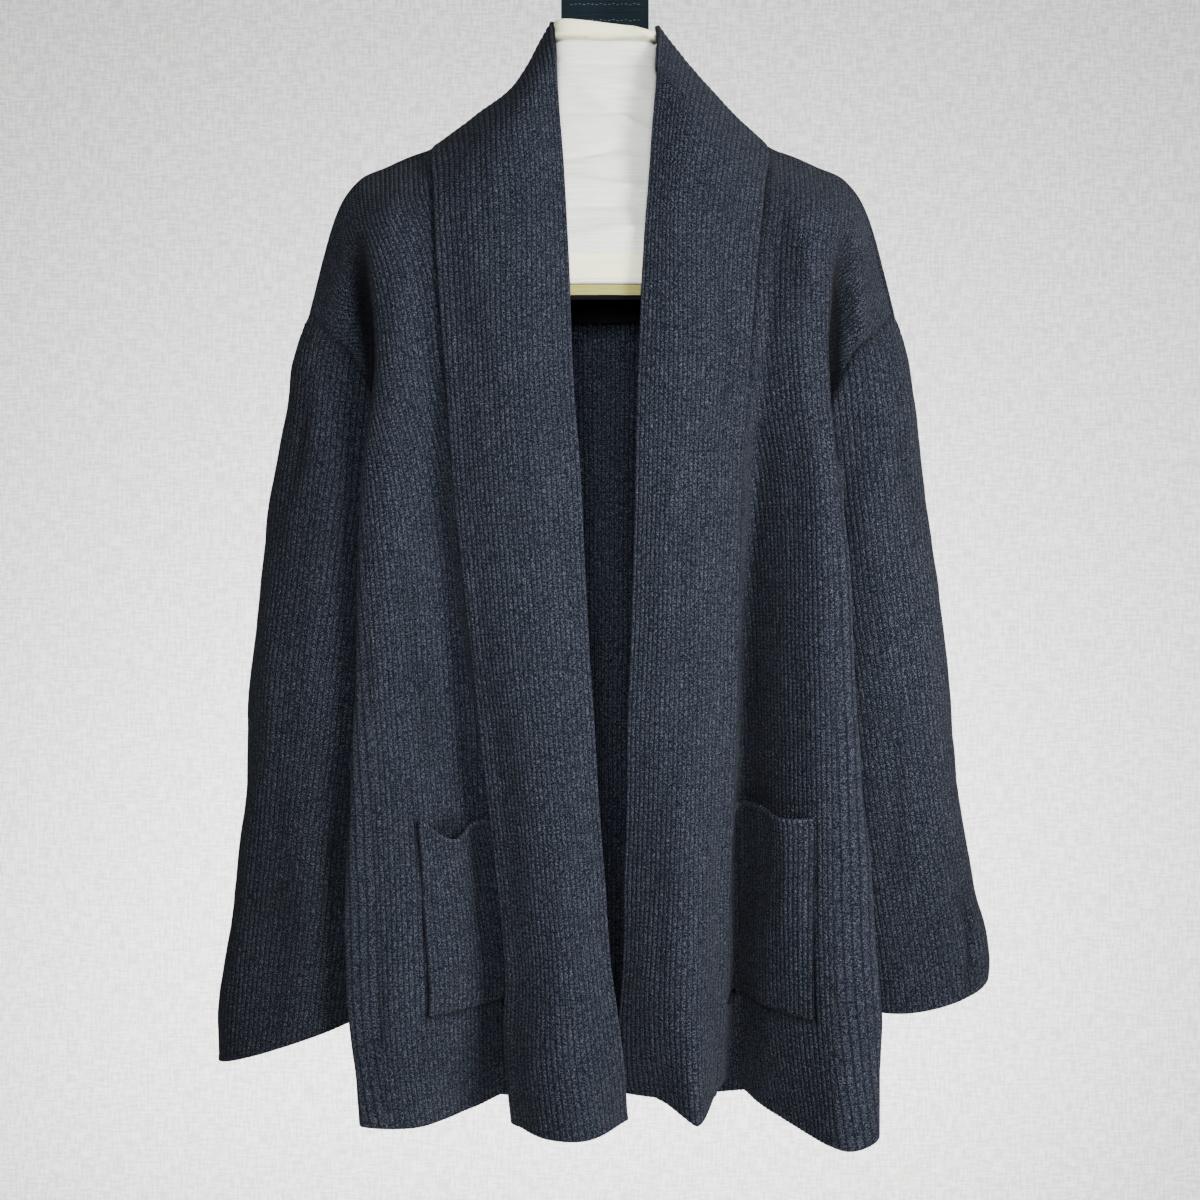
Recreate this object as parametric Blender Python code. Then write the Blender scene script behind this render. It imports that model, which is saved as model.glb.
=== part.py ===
"""Shawl collar cardigan hanging on a cream bust hanger that a wide strap holds up.

Units: the tables are in millimetres and the objects in metres, +Z up.  The origin is the
axis of the rod that the strap hangs on.  The front faces -Y; the wearer's right is -X.
"""
import math

import bmesh
import bpy
from mathutils import Vector

for thing in list(bpy.data.objects):
    bpy.data.objects.remove(thing, do_unlink=True)

COLLECTION = "shawl_collar_cardigan"
MM = 0.001

# Cloth thicknesses and the parting between sewn pieces.
BODY_WALL = 3.4
BAND_WALL = 4.4
POCKET_WALL = 3.0
SEAM_PULL = 0.25         # each edge stops this far short of its seam
CENTRE_X = -2.5          # the cardigan sits a little towards the wearer's right
HARD_EDGE = 50           # degrees; softer bends than this are shaded round

# How finely each stretch between two table rows is cut.
FINE_STEPS = 3           # shoulder to armpit
LONG_STEPS = 2           # armpit to hem
NECK_STEPS = 4           # round the back of the neck
FOLD_STEPS = 2           # across each fold of a panel
BAND_STEPS = 3           # across each third of the band
SLEEVE_STEPS = 2         # between the rings of a sleeve
NECK_ROWS = 2            # rows of the band from the centre back to the shoulder point
ARMPIT_ROW = 5           # rows of a panel: 0 shoulder, 5 armpit, 9 hem
HEM_ROW = 9
UNDERARM_EASE = 4        # how far the sleeve stands off the body under the arm

# Shoulder line from the neck point out to the dropped shoulder: x, y, z.
SHOULDER = (
    (-133.5, 2, -146), (-144, 2, -150.6), (-158, 2, -155.5), (-177, 2, -164),
    (-201, 2, -176), (-220, 2, -207), (-240, 2, -282),
)
# Armhole between the dropped shoulder and the armpit: front x, y, z, back x, y, z.
ARMHOLE = (
    (-223, -13, -301, -226, 19, -303),
    (-203, -20, -319, -209, 31, -324),
    (-188, -20, -352, -192, 36, -356),
    (-179, -15, -398, -181, 33, -400),
)
# Side seam from the armpit to the hem: x, y, z.
SIDE_SEAM = (
    (-169, 9, -445), (-168, 12, -610), (-169, 12, -786), (-170, 12, -862), (-170, 12, -930),
)

# Band, one row per course from the centre back: seam, outer third, inner third, free edge.
BAND_RIGHT = (
    ((-2.5, 64, -172), (-2.5, 68, -138), (-2.5, 62, -103), (-2.5, 49, -68)),
    ((-76, 54, -161), (-69, 55, -131), (-56, 49, -97), (-39, 38, -64)),
    ((-136, 2, -146), (-105, -3, -125), (-72, -10, -100), (-44, -10, -55)),
    ((-134, -48, -195), (-102, -57, -165), (-68, -61, -132), (-38.5, -50, -88)),
    ((-131, -58, -245), (-99, -70, -228), (-63, -74, -206), (-32, -62, -172)),
    ((-127, -62, -300), (-95, -76, -292), (-60, -80, -280), (-27, -72, -262)),
    ((-122, -64, -360), (-91, -79, -359), (-56, -83, -357), (-23, -75, -354)),
    ((-116, -64, -440), (-85, -81, -440), (-50, -85, -440), (-17, -77, -440)),
    ((-98, -60, -610), (-69, -80, -610), (-37, -86, -610), (-8, -76, -610)),
    ((-79, -52, -786), (-51, -79, -786), (-22, -87, -786), (5, -71, -786)),
    ((-79, -46, -862), (-50, -80, -863), (-17, -88, -863), (14, -63, -861)),
    ((-73, -42, -928), (-46, -80, -929), (-12, -88, -927), (19, -52, -922)),
)
BAND_LEFT = (
    ((-2.5, 64, -172), (-2.5, 68, -138), (-2.5, 62, -103), (-2.5, 49, -68)),
    ((70, 54, -160), (65, 55, -129), (53, 49, -96), (39, 38, -64)),
    ((129, 2, -145), (101, -3, -122), (72, -10, -90), (44.5, -10, -57)),
    ((124, -48, -198), (98, -58, -167), (67, -62, -133), (41, -50, -90)),
    ((119, -58, -245), (90, -71, -228), (58, -74, -206), (34, -62, -172)),
    ((114, -62, -300), (86, -77, -292), (54, -80, -280), (28, -72, -262)),
    ((110, -62, -360), (82, -79, -359), (52, -82, -358), (24, -76, -355)),
    ((105, -60, -440), (78, -79, -440), (49, -82, -440), (22, -76, -440)),
    ((102, -54, -610), (73, -77, -610), (45, -80, -610), (17, -72, -610)),
    ((96, -40, -786), (68, -74, -786), (41, -72, -786), (13, -50, -786)),
    ((94, -32, -862), (70, -74, -862), (42, -62, -860), (10, -34, -856)),
    ((88, -20, -909), (72, -74, -921), (45, -50, -909), (10, -22, -903)),
)

# Fronts, one row per course below the shoulder.  The band seam comes before the first
# cell and the armhole or side seam after the last.
# Cells: hollow, corner, face, fold, tuck.
FRONT_RIGHT = (
    ((-149, -46, -199), (-160, -47, -203), (-174, -46, -209), (-192, -36, -218), (-207, -26, -242)),
    ((-145, -56, -248), (-156, -58, -250), (-169, -58, -253), (-186, -48, -260), (-193, -26, -277)),
    ((-141, -58, -302), (-153, -61, -303), (-168, -62, -305), (-184, -50, -308), (-184, -34, -316)),
    ((-136, -57, -361), (-151, -61, -362), (-170, -63, -364), (-188, -50, -366), (-183, -32, -372)),
    ((-128, -52, -440), (-144, -55, -440), (-168, -62, -440), (-191, -50, -440), (-182, -28, -442)),
    ((-104, -34, -608), (-128, -45, -609), (-162, -59, -610), (-197, -51, -610), (-180, -22, -610)),
    ((-79, -8, -782), (-110, -30, -784), (-152, -56, -786), (-203, -50, -786), (-181, -20, -786)),
    ((-78, -2, -857), (-108, -26, -860), (-150, -55, -862), (-199, -51, -862), (-180, -20, -862)),
    ((-76, 8, -918), (-106, -14, -924), (-146, -53, -928), (-191, -52, -928), (-178, -20, -929)),
)
FRONT_LEFT = (
    ((138, -46, -203), (148, -46, -205), (166, -46, -208), (185, -38, -215), (203, -27, -242)),
    ((132, -54, -247), (142, -56, -249), (158, -58, -252), (178, -50, -258), (188, -26, -276)),
    ((127, -56, -301), (138, -59, -302), (156, -62, -304), (178, -54, -306), (179, -34, -315)),
    ((121, -50, -361), (142, -57, -362), (160, -64, -363), (181, -56, -364), (177, -32, -371)),
    ((117, -28, -440), (144, -50, -440), (166, -66, -440), (187, -58, -440), (176, -28, -441)),
    ((112, -8, -604), (143, -50, -607), (170, -68, -610), (196, -60, -610), (174, -24, -610)),
    ((109, -5, -776), (134, -46, -781), (172, -70, -786), (210, -62, -786), (174, -24, -786)),
    ((107, 3, -851), (132, -37, -858), (175, -73, -862), (215, -64, -862), (175, -24, -862)),
    ((104, 18, -909), (129, -18, -923), (181, -73, -940), (213, -62, -932), (173, -24, -931)),
)
# Back, from the side seam inwards.
# Cells: tuck, fold, face, corner, hollow, neck point, inner fold.
BACK_RIGHT = (
    ((-212, 32, -246), (-194, 42, -218), (-168, 48, -206), (-158, 50, -204),
     (-148, 51, -201), (-127, 54, -197), (-70, 62, -199)),
    ((-200, 46, -282), (-189, 57, -264), (-164, 63, -253), (-154, 64, -252),
     (-144, 66, -250), (-121, 69, -248), (-66, 73, -249)),
    ((-190, 50, -324), (-184, 64, -311), (-160, 71, -305), (-150, 73, -304),
     (-140, 75, -303), (-116, 78, -302), (-62, 76, -303)),
    ((-180, 46, -376), (-186, 66, -368), (-160, 76, -364), (-149, 79, -363),
     (-138, 82, -362), (-112, 82, -362), (-60, 76, -362)),
    ((-175, 43, -443), (-193, 66, -440), (-164, 80, -440), (-151, 84, -440),
     (-138, 87, -440), (-110, 86, -440), (-58, 76, -440)),
    ((-177, 44, -612), (-202, 66, -612), (-169, 83, -612), (-154, 88, -612),
     (-140, 92, -612), (-108, 89, -612), (-56, 75, -612)),
    ((-178, 44, -790), (-206, 66, -790), (-172, 85, -790), (-156, 90, -790),
     (-140, 96, -790), (-106, 91, -790), (-54, 74, -790)),
    ((-178, 44, -868), (-206, 66, -869), (-172, 86, -870), (-156, 92, -870),
     (-140, 97, -870), (-106, 91, -870), (-54, 74, -870)),
    ((-178, 44, -934), (-205, 66, -938), (-172, 86, -941), (-156, 92, -941),
     (-140, 98, -941), (-106, 91, -941), (-54, 74, -941)),
)
# Centre of the back below the neck: y, z.
BACK_CENTRE = (
    (68, -206), (76, -252), (81, -304), (85, -362), (90, -440), (95, -612), (99, -790),
    (100, -870), (100, -941),
)

# Sleeves below the armhole: outer x, outer z, inner x, inner z, front depth, back depth,
# front sag.
SLEEVE_RIGHT = (
    (-250, -322, -184, -466, 34, 36, 0),
    (-259, -366, -184, -505, 37, 40, 0),
    (-272, -435, -186, -545, 38, 40, 0),
    (-281, -520, -187, -596, 38, 40, 0),
    (-287, -600, -188, -652, 38, 38, 0),
    (-292, -678, -190, -712, 37, 37, 0),
    (-301, -757, -193, -776, 35, 36, 0),
    (-311, -832, -196, -826, 33, 34, 0),
    (-313, -889, -198, -854, 31, 32, 0),
)
SLEEVE_LEFT = (
    (244, -322, 180, -466, 34, 36, 0),
    (250, -366, 181, -505, 37, 40, 0),
    (260, -430, 183, -545, 38, 40, 0),
    (271, -516, 185, -592, 38, 40, 0),
    (280, -598, 187, -645, 38, 38, 0),
    (287, -672, 191, -698, 37, 37, 0),
    (297, -735, 198, -750, 35, 36, 2),
    (309, -792, 205, -804, 33, 34, 6),
    (309, -821, 209, -843, 33, 34, 9),
)

# Pockets as stretches of their front: cells across, rows down, and how far the mouth stands
# off and sags.
POCKET_CELLS = {"front_right": (0.5, 2.75), "front_left": (0.5, 2.74)}
POCKET_ROWS = {"front_right": (6.44, 7.66), "front_left": (6.40, 7.66)}
POCKET_GAP = 1.4         # between the panel and the patch along its sewn edges
POCKET_HELD = 0.5        # share of the width that the fold beside the band holds shut
POCKET_GAPE = 10.0
POCKET_SAG = {"front_right": 11.0, "front_left": 3.0}

# Bust form, rings of height, half width, half depth: the hollow under its foot, the foot's
# edge, then up over the shoulders and the neck roll and in.
BUST_HOLLOW = ((-252, 150, 42), (-256, 160, 51), (-280, 163.5, 54.5), (-281, 166, 56.5))
BUST_FOOT = (-279, 168, 58)
BUST_RINGS = BUST_HOLLOW + (
    BUST_FOOT, (-270, 168, 58), (-268, 171, 60),
    (-250, 180, 60), (-230, 186, 57), (-212, 190, 51), (-199, 187, 47), (-189, 177, 44),
    (-177.6, 157, 41), (-165.6, 129, 38), (-151.2, 97, 36), (-137, 68, 34), (-122, 50, 32),
    (-106, 41, 31), (-84, 38, 31), (-72, 37.8, 30.5), (-64, 39.2, 31), (-58, 39.2, 31),
    (-55, 38.2, 29.5), (-58, 37.3, 27.5), (-66, 36.8, 26), (-76, 36.6, 25),
)
BUST_SIDES = 36
TRIM_HEIGHT = 8
TRIM_WALL = 1.2
TRIM_GAP = 0.4

# Strap: a band folded over the rod and sewn to itself.
STRAP_WIDTH = 71
STRAP_PLY = 2.6
STRAP_PLY_GAP = 0.4
STRAP_EYE = 9            # inside radius of the hem that takes the rod
STRAP_FOOT = -75.7       # just above the floor of the hollow neck
STRAP_CLOSES = (-2.2, -1.5)   # heights of the straight plies under the eye, in eye radii
EYE_STEPS = 20

# Colour and roughness of each stuff.
LOOKS = {
    "knit": ((0.041, 0.049, 0.065), 0.95),
    "bust_form": ((0.70, 0.69, 0.62), 0.9),
    "form_trim": ((0.46, 0.43, 0.24), 0.85),
    "hang_strap": ((0.018, 0.027, 0.037), 0.8),
}


def smooth(points, place):
    """Point at a fractional place along a row of points, on a curve through them all."""
    last = len(points) - 1
    start = min(int(place), last - 1)
    part = place - start
    here, ahead = Vector(points[start]), Vector(points[start + 1])
    behind = Vector(points[start - 1]) if start > 0 else here * 2 - ahead
    beyond = Vector(points[start + 2]) if start + 2 <= last else ahead * 2 - here
    return here + 0.5 * part * ((ahead - behind)
                                + part * (2 * behind - 5 * here + 4 * ahead - beyond)
                                + part ** 2 * (3 * (here - ahead) + beyond - behind))


def mirrored(point):
    """The same point on the other side of the cardigan's centre."""
    return (2 * CENTRE_X - point[0],) + tuple(point[1:])


def side_line(back):
    """Armhole and side seam of the wearer's right, dropped shoulder to hem."""
    first = 3 if back else 0
    armhole = tuple(row[first:first + 3] for row in ARMHOLE)
    return (SHOULDER[-1],) + armhole + SIDE_SEAM


def on_side(line, place):
    """Point on a side line, whose armhole and side seam are separate curves."""
    if place <= ARMPIT_ROW:
        return smooth(line[:ARMPIT_ROW + 1], place)
    return smooth(line[ARMPIT_ROW:], place - ARMPIT_ROW)


def even_places(first, last, steps):
    """Places from one table row to another, each stretch cut into equal steps."""
    return [first + i / steps for i in range(round((last - first) * steps) + 1)]


DOWN_PLACES = (even_places(0, ARMPIT_ROW, FINE_STEPS)
               + even_places(ARMPIT_ROW, HEM_ROW, LONG_STEPS)[1:])


def surface(rows, down_places, across_places):
    """Grid of points on the smooth surface through a table's rows."""
    lines = list(zip(*rows))
    return [[smooth([smooth(line, down) for line in lines], across) for across in across_places]
            for down in down_places]


def shoulder_row(band, flip):
    """Cells of the shoulder seam, from the band outwards."""
    row = [mirrored(point) for point in SHOULDER] if flip else list(SHOULDER)
    row[0] = band[NECK_ROWS][0]
    return row


def front_grid(cells, band, flip):
    """A front panel, from the band seam to the armhole and side seam."""
    side = [mirrored(point) for point in side_line(False)] if flip else side_line(False)
    rows = [shoulder_row(band, flip)]
    for number, row in enumerate(cells, start=1):
        rows.append((band[number + NECK_ROWS][0],) + row + (side[number],))
    grid = surface(rows, DOWN_PLACES, even_places(0, len(SHOULDER) - 1, FOLD_STEPS))
    seam = [row[0] for row in band]
    for line, down in zip(grid, DOWN_PLACES):
        line[0] = smooth(seam, NECK_ROWS + down)
        line[-1] = on_side(side, down)
    return grid


def back_half(band, flip):
    """Half of the back from the side seam to the centre, its edges shared with the rest."""
    turn = mirrored if flip else tuple
    side = [turn(point) for point in side_line(True)]
    front_side = [turn(point) for point in side_line(False)]
    shoulder = shoulder_row(band, flip)
    rows = [shoulder[::-1] + [band[1][0], band[0][0]]]
    for number, row in enumerate(BACK_RIGHT, start=1):
        centre = (CENTRE_X,) + BACK_CENTRE[number - 1]
        rows.append([side[number]] + [turn(point) for point in row] + [centre])
    neck_point = len(SHOULDER) - 1
    across = (even_places(0, neck_point, FOLD_STEPS)
              + even_places(neck_point, neck_point + NECK_ROWS, NECK_STEPS)[1:])
    grid = surface(rows, DOWN_PLACES, across)
    seam = [row[0] for row in band]
    for number, place in enumerate(across):
        if place <= neck_point:
            grid[0][number] = smooth(shoulder, neck_point - place)
        else:
            grid[0][number] = smooth(seam, NECK_ROWS - (place - neck_point))
    for line, down in zip(grid, DOWN_PLACES):
        line[0] = on_side(side if down < ARMPIT_ROW else front_side, down)
    return grid


def back_grid():
    """The whole back, from the wearer's right side seam to the left one."""
    right = back_half(BAND_RIGHT, flip=False)
    left = back_half(BAND_LEFT, flip=True)
    return [one + other[-2::-1] for one, other in zip(right, left)]


def band_grid(band):
    """Half of the collar band, from the centre back to the hem, seam to free edge."""
    down = [place / NECK_STEPS for place in range(NECK_ROWS * NECK_STEPS)]
    down += [NECK_ROWS + place for place in DOWN_PLACES]
    return surface(band, down, even_places(0, len(band[0]) - 1, BAND_STEPS))


def sleeve_grid(rings, flip):
    """A sleeve as rings of points that start on its armhole, front round to back."""
    turn = mirrored if flip else tuple
    places = even_places(0, ARMPIT_ROW, FINE_STEPS)
    front = [on_side([turn(point) for point in side_line(False)], place) for place in places]
    back = [on_side([turn(point) for point in side_line(True)], place) for place in places]
    half = len(places) - 1
    side = 1 if flip else -1
    first_ring = []
    for step, point in enumerate(front + back[-2:0:-1]):
        under = (1 - math.cos(math.pi * step / half)) / 2
        first_ring.append(point + Vector((side, 0, 0)) * UNDERARM_EASE * under ** 3)
    grid = [first_ring]
    for outer_x, outer_z, inner_x, inner_z, front_depth, back_depth, sag in rings:
        middle = Vector(((outer_x + inner_x) / 2, 0, (outer_z + inner_z) / 2))
        reach = Vector(((outer_x - inner_x) / 2, 0, (outer_z - inner_z) / 2))
        ring = []
        for step in range(2 * half):
            turned = math.pi * step / half
            depth = front_depth if step < half else back_depth
            drop = sag * max(0, math.sin(turned))
            ring.append(middle + math.cos(turned) * reach
                        + Vector((0, -depth * math.sin(turned), -drop)))
        grid.append(ring)
    places = even_places(0, len(grid) - 1, SLEEVE_STEPS)
    return [list(row) for row in zip(*[[smooth(line, place) for place in places]
                                       for line in zip(*grid)])]


def normals(grid, closed):
    """Direction out of the cloth at each point of a grid."""
    result = []
    last_row, last = len(grid) - 1, len(grid[0]) - 1
    for r, line in enumerate(grid):
        result.append([])
        for c in range(len(line)):
            if closed:
                along = line[(c + 1) % (last + 1)] - line[c - 1]
            else:
                along = line[min(c + 1, last)] - line[max(c - 1, 0)]
            down = grid[min(r + 1, last_row)][c] - grid[max(r - 1, 0)][c]
            result[-1].append(down.cross(along).normalized())
    return result


def seam_key(point):
    """Points nearer than a tenth of a millimetre count as one on a seam."""
    return tuple(round(value, 1) for value in point)


def pulled_in(grid, closed):
    """The grid with its edges stopped a little short, so sewn pieces stay parted."""
    moved = [[point.copy() for point in line] for line in grid]
    for edge, inner in ((0, 1), (len(grid) - 1, len(grid) - 2)):
        for c, point in enumerate(grid[edge]):
            moved[edge][c] += (grid[inner][c] - point).normalized() * SEAM_PULL
    if not closed:
        for r, line in enumerate(grid):
            moved[r][0] += (line[1] - line[0]).normalized() * SEAM_PULL
            moved[r][-1] += (line[-2] - line[-1]).normalized() * SEAM_PULL
    return moved


def wall_mesh(name, outer, inner, closed):
    """A closed wall between an outer and an inner grid of points."""
    mesh = bmesh.new()
    sides = []
    for grid in (outer, inner):
        sides.append([[mesh.verts.new(point * MM) for point in line] for line in grid])
    rows, columns = len(outer), len(outer[0])
    wrap = columns if closed else columns - 1
    for face_out, side in ((True, sides[0]), (False, sides[1])):
        for r in range(rows - 1):
            for c in range(wrap):
                d = (c + 1) % columns
                corners = [side[r][c], side[r + 1][c], side[r + 1][d], side[r][d]]
                mesh.faces.new(corners if face_out else corners[::-1])
    rim = [((r, c), (r, (c + 1) % columns)) for r in (0, rows - 1) for c in range(wrap)]
    if not closed:
        rim += [((r, c), (r + 1, c)) for c in (0, columns - 1) for r in range(rows - 1)]
    for (r, c), (s, d) in rim:
        mesh.faces.new([sides[0][r][c], sides[0][s][d], sides[1][s][d], sides[1][r][c]])
    bmesh.ops.recalc_face_normals(mesh, faces=mesh.faces)
    bmesh.ops.triangulate(mesh, faces=mesh.faces)
    return finished(name, mesh)


def finished(name, mesh):
    """Make a named object of a mesh, in the collection, with its own material."""
    data = bpy.data.meshes.new(name)
    mesh.to_mesh(data)
    mesh.free()
    thing = bpy.data.objects.new(name, data)
    cloth_of = bpy.data.materials.new(name)
    cloth_of.use_nodes = True
    shader = cloth_of.node_tree.nodes["Principled BSDF"]
    colour, roughness = LOOKS.get(name, LOOKS["knit"])
    shader.inputs["Base Color"].default_value = (*colour, 1)
    shader.inputs["Roughness"].default_value = roughness
    shader.inputs["Metallic"].default_value = 0
    data.materials.append(cloth_of)
    collection.objects.link(thing)
    data.shade_smooth()
    data.set_sharp_from_angle(angle=math.radians(HARD_EDGE))
    return thing


def pocket_places(first, last, known):
    """Places of a patch: its ends, the panel's own lines between them and their middles."""
    lines = [first] + [place for place in known if first < place < last] + [last]
    middles = [(a + b) / 2 for a, b in zip(lines, lines[1:])]
    return sorted(lines + middles)


def on_facets(grid, row_places, column_places, down, across):
    """Point of a grid between its lines, on the flat stretches that the wall is made of."""
    r = max(i for i in range(len(row_places) - 1) if row_places[i] <= down)
    c = max(i for i in range(len(column_places) - 1) if column_places[i] <= across)
    fall = (down - row_places[r]) / (row_places[r + 1] - row_places[r])
    shift = (across - column_places[c]) / (column_places[c + 1] - column_places[c])
    top = grid[r][c].lerp(grid[r][c + 1], shift)
    foot = grid[r + 1][c].lerp(grid[r + 1][c + 1], shift)
    return top.lerp(foot, fall)


def pocket(name, panel):
    """A patch pocket from its panel's points, moved out; its mouth sags and stands off."""
    grid, directions = grids[panel], facing[panel]
    columns = even_places(0, len(SHOULDER) - 1, FOLD_STEPS)
    first, last = POCKET_CELLS[panel]
    top, foot = POCKET_ROWS[panel]
    across = pocket_places(first, last, columns)
    down = pocket_places(top, foot, DOWN_PLACES)
    outer, inner = [], []
    for place in down:
        depth = (place - top) / (foot - top)
        outer.append([])
        inner.append([])
        for spot in across:
            width = (spot - first) / (last - first)
            loose = max(0, (width - POCKET_HELD) / (1 - POCKET_HELD))
            swell = math.sin(math.pi * loose) ** 2
            gape = POCKET_GAPE * (1 - depth) ** 1.5 * swell
            sag = POCKET_SAG[panel] * (1 - depth) ** 2 * swell
            base = on_facets(grid, DOWN_PLACES, columns, place, spot)
            out = on_facets(directions, DOWN_PLACES, columns, place, spot).normalized()
            lifted = base + out * (POCKET_GAP + gape) - Vector((0, 0, sag))
            inner[-1].append(lifted)
            outer[-1].append(lifted + out * POCKET_WALL)
    wall_mesh(name, outer, inner, closed=False)


def ring_points(height, half_width, half_depth):
    """One level oval of the bust."""
    turns = [2 * math.pi * step / BUST_SIDES for step in range(BUST_SIDES)]
    return [Vector((half_width * math.cos(turn), half_depth * math.sin(turn), height))
            for turn in turns]


def bust():
    """The bust form: stacked ovals from the flat foot over the shoulders into the neck."""
    mesh = bmesh.new()
    rings = [[mesh.verts.new(point * MM) for point in ring_points(*row)]
             for row in BUST_RINGS]
    for below, above in zip(rings, rings[1:]):
        for c in range(BUST_SIDES):
            d = (c + 1) % BUST_SIDES
            mesh.faces.new([below[c], below[d], above[d], above[c]])
    mesh.faces.new(rings[0][::-1])
    mesh.faces.new(rings[-1])
    bmesh.ops.recalc_face_normals(mesh, faces=mesh.faces)
    bmesh.ops.triangulate(mesh, faces=mesh.faces)
    finished("bust_form", mesh)


def trim():
    """Narrow edging that stands just off the foot of the bust."""
    foot, half_width, half_depth = BUST_FOOT
    grids_of_trim = []
    for wall in (TRIM_WALL, 0):
        stand = TRIM_GAP + wall
        grids_of_trim.append([ring_points(height, half_width + stand, half_depth + stand)
                              for height in (foot + TRIM_HEIGHT, foot)])
    wall_mesh("form_trim", *grids_of_trim, closed=True)


def strap():
    """A strap folded over the rod: up one ply, round the eye and down the other."""
    reach = STRAP_EYE + STRAP_PLY / 2
    near = (STRAP_PLY + STRAP_PLY_GAP) / 2
    start = math.asin(near / reach)
    path = [(near, STRAP_FOOT)] + [(near, height * reach) for height in STRAP_CLOSES]
    for step in range(EYE_STEPS + 1):
        turn = start + (2 * math.pi - 2 * start) * step / EYE_STEPS
        path.append((reach * math.sin(turn), -reach * math.cos(turn)))
    path += [(-y, z) for y, z in path[len(STRAP_CLOSES)::-1]]
    outer, inner = [], []
    for number, (y, z) in enumerate(path):
        ahead = path[min(number + 1, len(path) - 1)]
        behind = path[max(number - 1, 0)]
        along = Vector((0, ahead[0] - behind[0], ahead[1] - behind[1])).normalized()
        out = along.cross(Vector((1, 0, 0)))
        edges = [Vector((side * STRAP_WIDTH / 2, y, z)) for side in (-1, 0, 1)]
        outer.append([edge + out * STRAP_PLY / 2 for edge in edges])
        inner.append([edge - out * STRAP_PLY / 2 for edge in edges])
    wall_mesh("hang_strap", outer, inner, closed=False)


collection = bpy.data.collections.new(COLLECTION)
bpy.context.scene.collection.children.link(collection)

# Name: thickness, whether its grid closes into a tube, and whether its normals turn over.
PANELS = {
    "back": (BODY_WALL, False, True),
    "front_right": (BODY_WALL, False, True),
    "front_left": (BODY_WALL, False, False),
    "collar_right": (BAND_WALL, False, False),
    "collar_left": (BAND_WALL, False, True),
    "sleeve_right": (BODY_WALL, True, False),
    "sleeve_left": (BODY_WALL, True, True),
}
grids = {
    "back": back_grid(),
    "front_right": front_grid(FRONT_RIGHT, BAND_RIGHT, flip=False),
    "front_left": front_grid(FRONT_LEFT, BAND_LEFT, flip=True),
    "collar_right": band_grid(BAND_RIGHT),
    "collar_left": band_grid(BAND_LEFT),
    "sleeve_right": sleeve_grid(SLEEVE_RIGHT, flip=False),
    "sleeve_left": sleeve_grid(SLEEVE_LEFT, flip=True),
}

# Where flat pieces are sewn together they share one direction, so their walls meet edge to
# edge.  The sleeves fold back on the body under the arm, so they keep their own.
facing = {}
shared = {}
for name, (thickness, closed, turned) in PANELS.items():
    sign = -1 if turned else 1
    facing[name] = [[out * sign for out in line] for line in normals(grids[name], closed)]
    if closed:
        continue
    for points, line in zip(grids[name], facing[name]):
        for point, out in zip(points, line):
            key = seam_key(point)
            shared[key] = shared.get(key, Vector()) + out
for name, (thickness, closed, turned) in PANELS.items():
    if not closed:
        facing[name] = [[shared[seam_key(point)].normalized() for point in line]
                        for line in grids[name]]
    outer = pulled_in(grids[name], closed)
    inner = [[point - out * thickness for point, out in zip(points, line)]
             for points, line in zip(outer, facing[name])]
    wall_mesh(name, outer, inner, closed)

pocket("pocket_right", "front_right")
pocket("pocket_left", "front_left")
bust()
trim()
strap()
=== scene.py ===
"""Looks of a shawl collar cardigan on a cream bust hanger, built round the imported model.

Tables are in millimetres and everything else in metres, +Z up.  The front faces -Y and the
wearer's right is -X.  The origin is the axis of the rod that the hanger's strap hangs on.
"""
import math

import bmesh
import bpy
import numpy as np
from mathutils import Matrix, Vector


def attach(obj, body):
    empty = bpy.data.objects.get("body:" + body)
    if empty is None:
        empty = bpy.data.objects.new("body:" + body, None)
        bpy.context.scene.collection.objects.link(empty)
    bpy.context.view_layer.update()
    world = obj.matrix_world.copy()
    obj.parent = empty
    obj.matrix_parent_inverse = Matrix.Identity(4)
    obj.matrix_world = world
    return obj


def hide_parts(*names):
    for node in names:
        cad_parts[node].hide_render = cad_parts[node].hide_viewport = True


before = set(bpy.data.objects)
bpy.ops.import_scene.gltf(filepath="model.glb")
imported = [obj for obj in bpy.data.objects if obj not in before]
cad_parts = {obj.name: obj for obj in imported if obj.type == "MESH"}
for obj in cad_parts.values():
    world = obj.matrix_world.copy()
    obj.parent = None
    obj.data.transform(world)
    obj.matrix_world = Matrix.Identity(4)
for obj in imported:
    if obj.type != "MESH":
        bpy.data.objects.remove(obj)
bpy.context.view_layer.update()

# ---------------------------------------------------------------------------------------
# Collar band.  One wide strip of heavy 1x1 rib, knitted in brushed charcoal wool melange.
# It stands round the back of the neck, falls down both fronts to the hem and is sewn to the
# body along its outer edge.  Each half is one piece, joined at the centre of the back.
MM = 0.001
RIB_PITCH = 4.1          # one knit wale and one purl wale
COURSE_PITCH = 3.0       # one row of stitches
RIB_RELIEF = 1.1         # from the top of a rib to the bottom of its groove
RIB_SQUARE = 4.5         # how square a rib's back is
RIB_SINK = 0.8           # share of the relief that lies below the panel's own surface
RIB_LEVEL = 0.6          # height, as a share of the relief, at which ribs run into a seam
INSIDE_RELIEF = 0.5      # share of the relief that the inner face has
RIPPLES = ((210, 1.3), (90, 0.5), (34, 0.2))        # size and height of slow uneven waves
SEAM_RIBS = 2.0          # ribs rise from a seam over this far
SEAM_SOFT = 6.0          # ripples settle this far from a seam
SEAM_LINE = 1.3          # the painted shade along a seam is this wide
SEAM_DARK = 0.3          # and this much darker
FOLD_DARK = 0.12         # how much darker the painted shade in a trough is, for each mm of its depth
NECK_ROWS = 2            # table rows of the band from the centre back to the neck point
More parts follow.
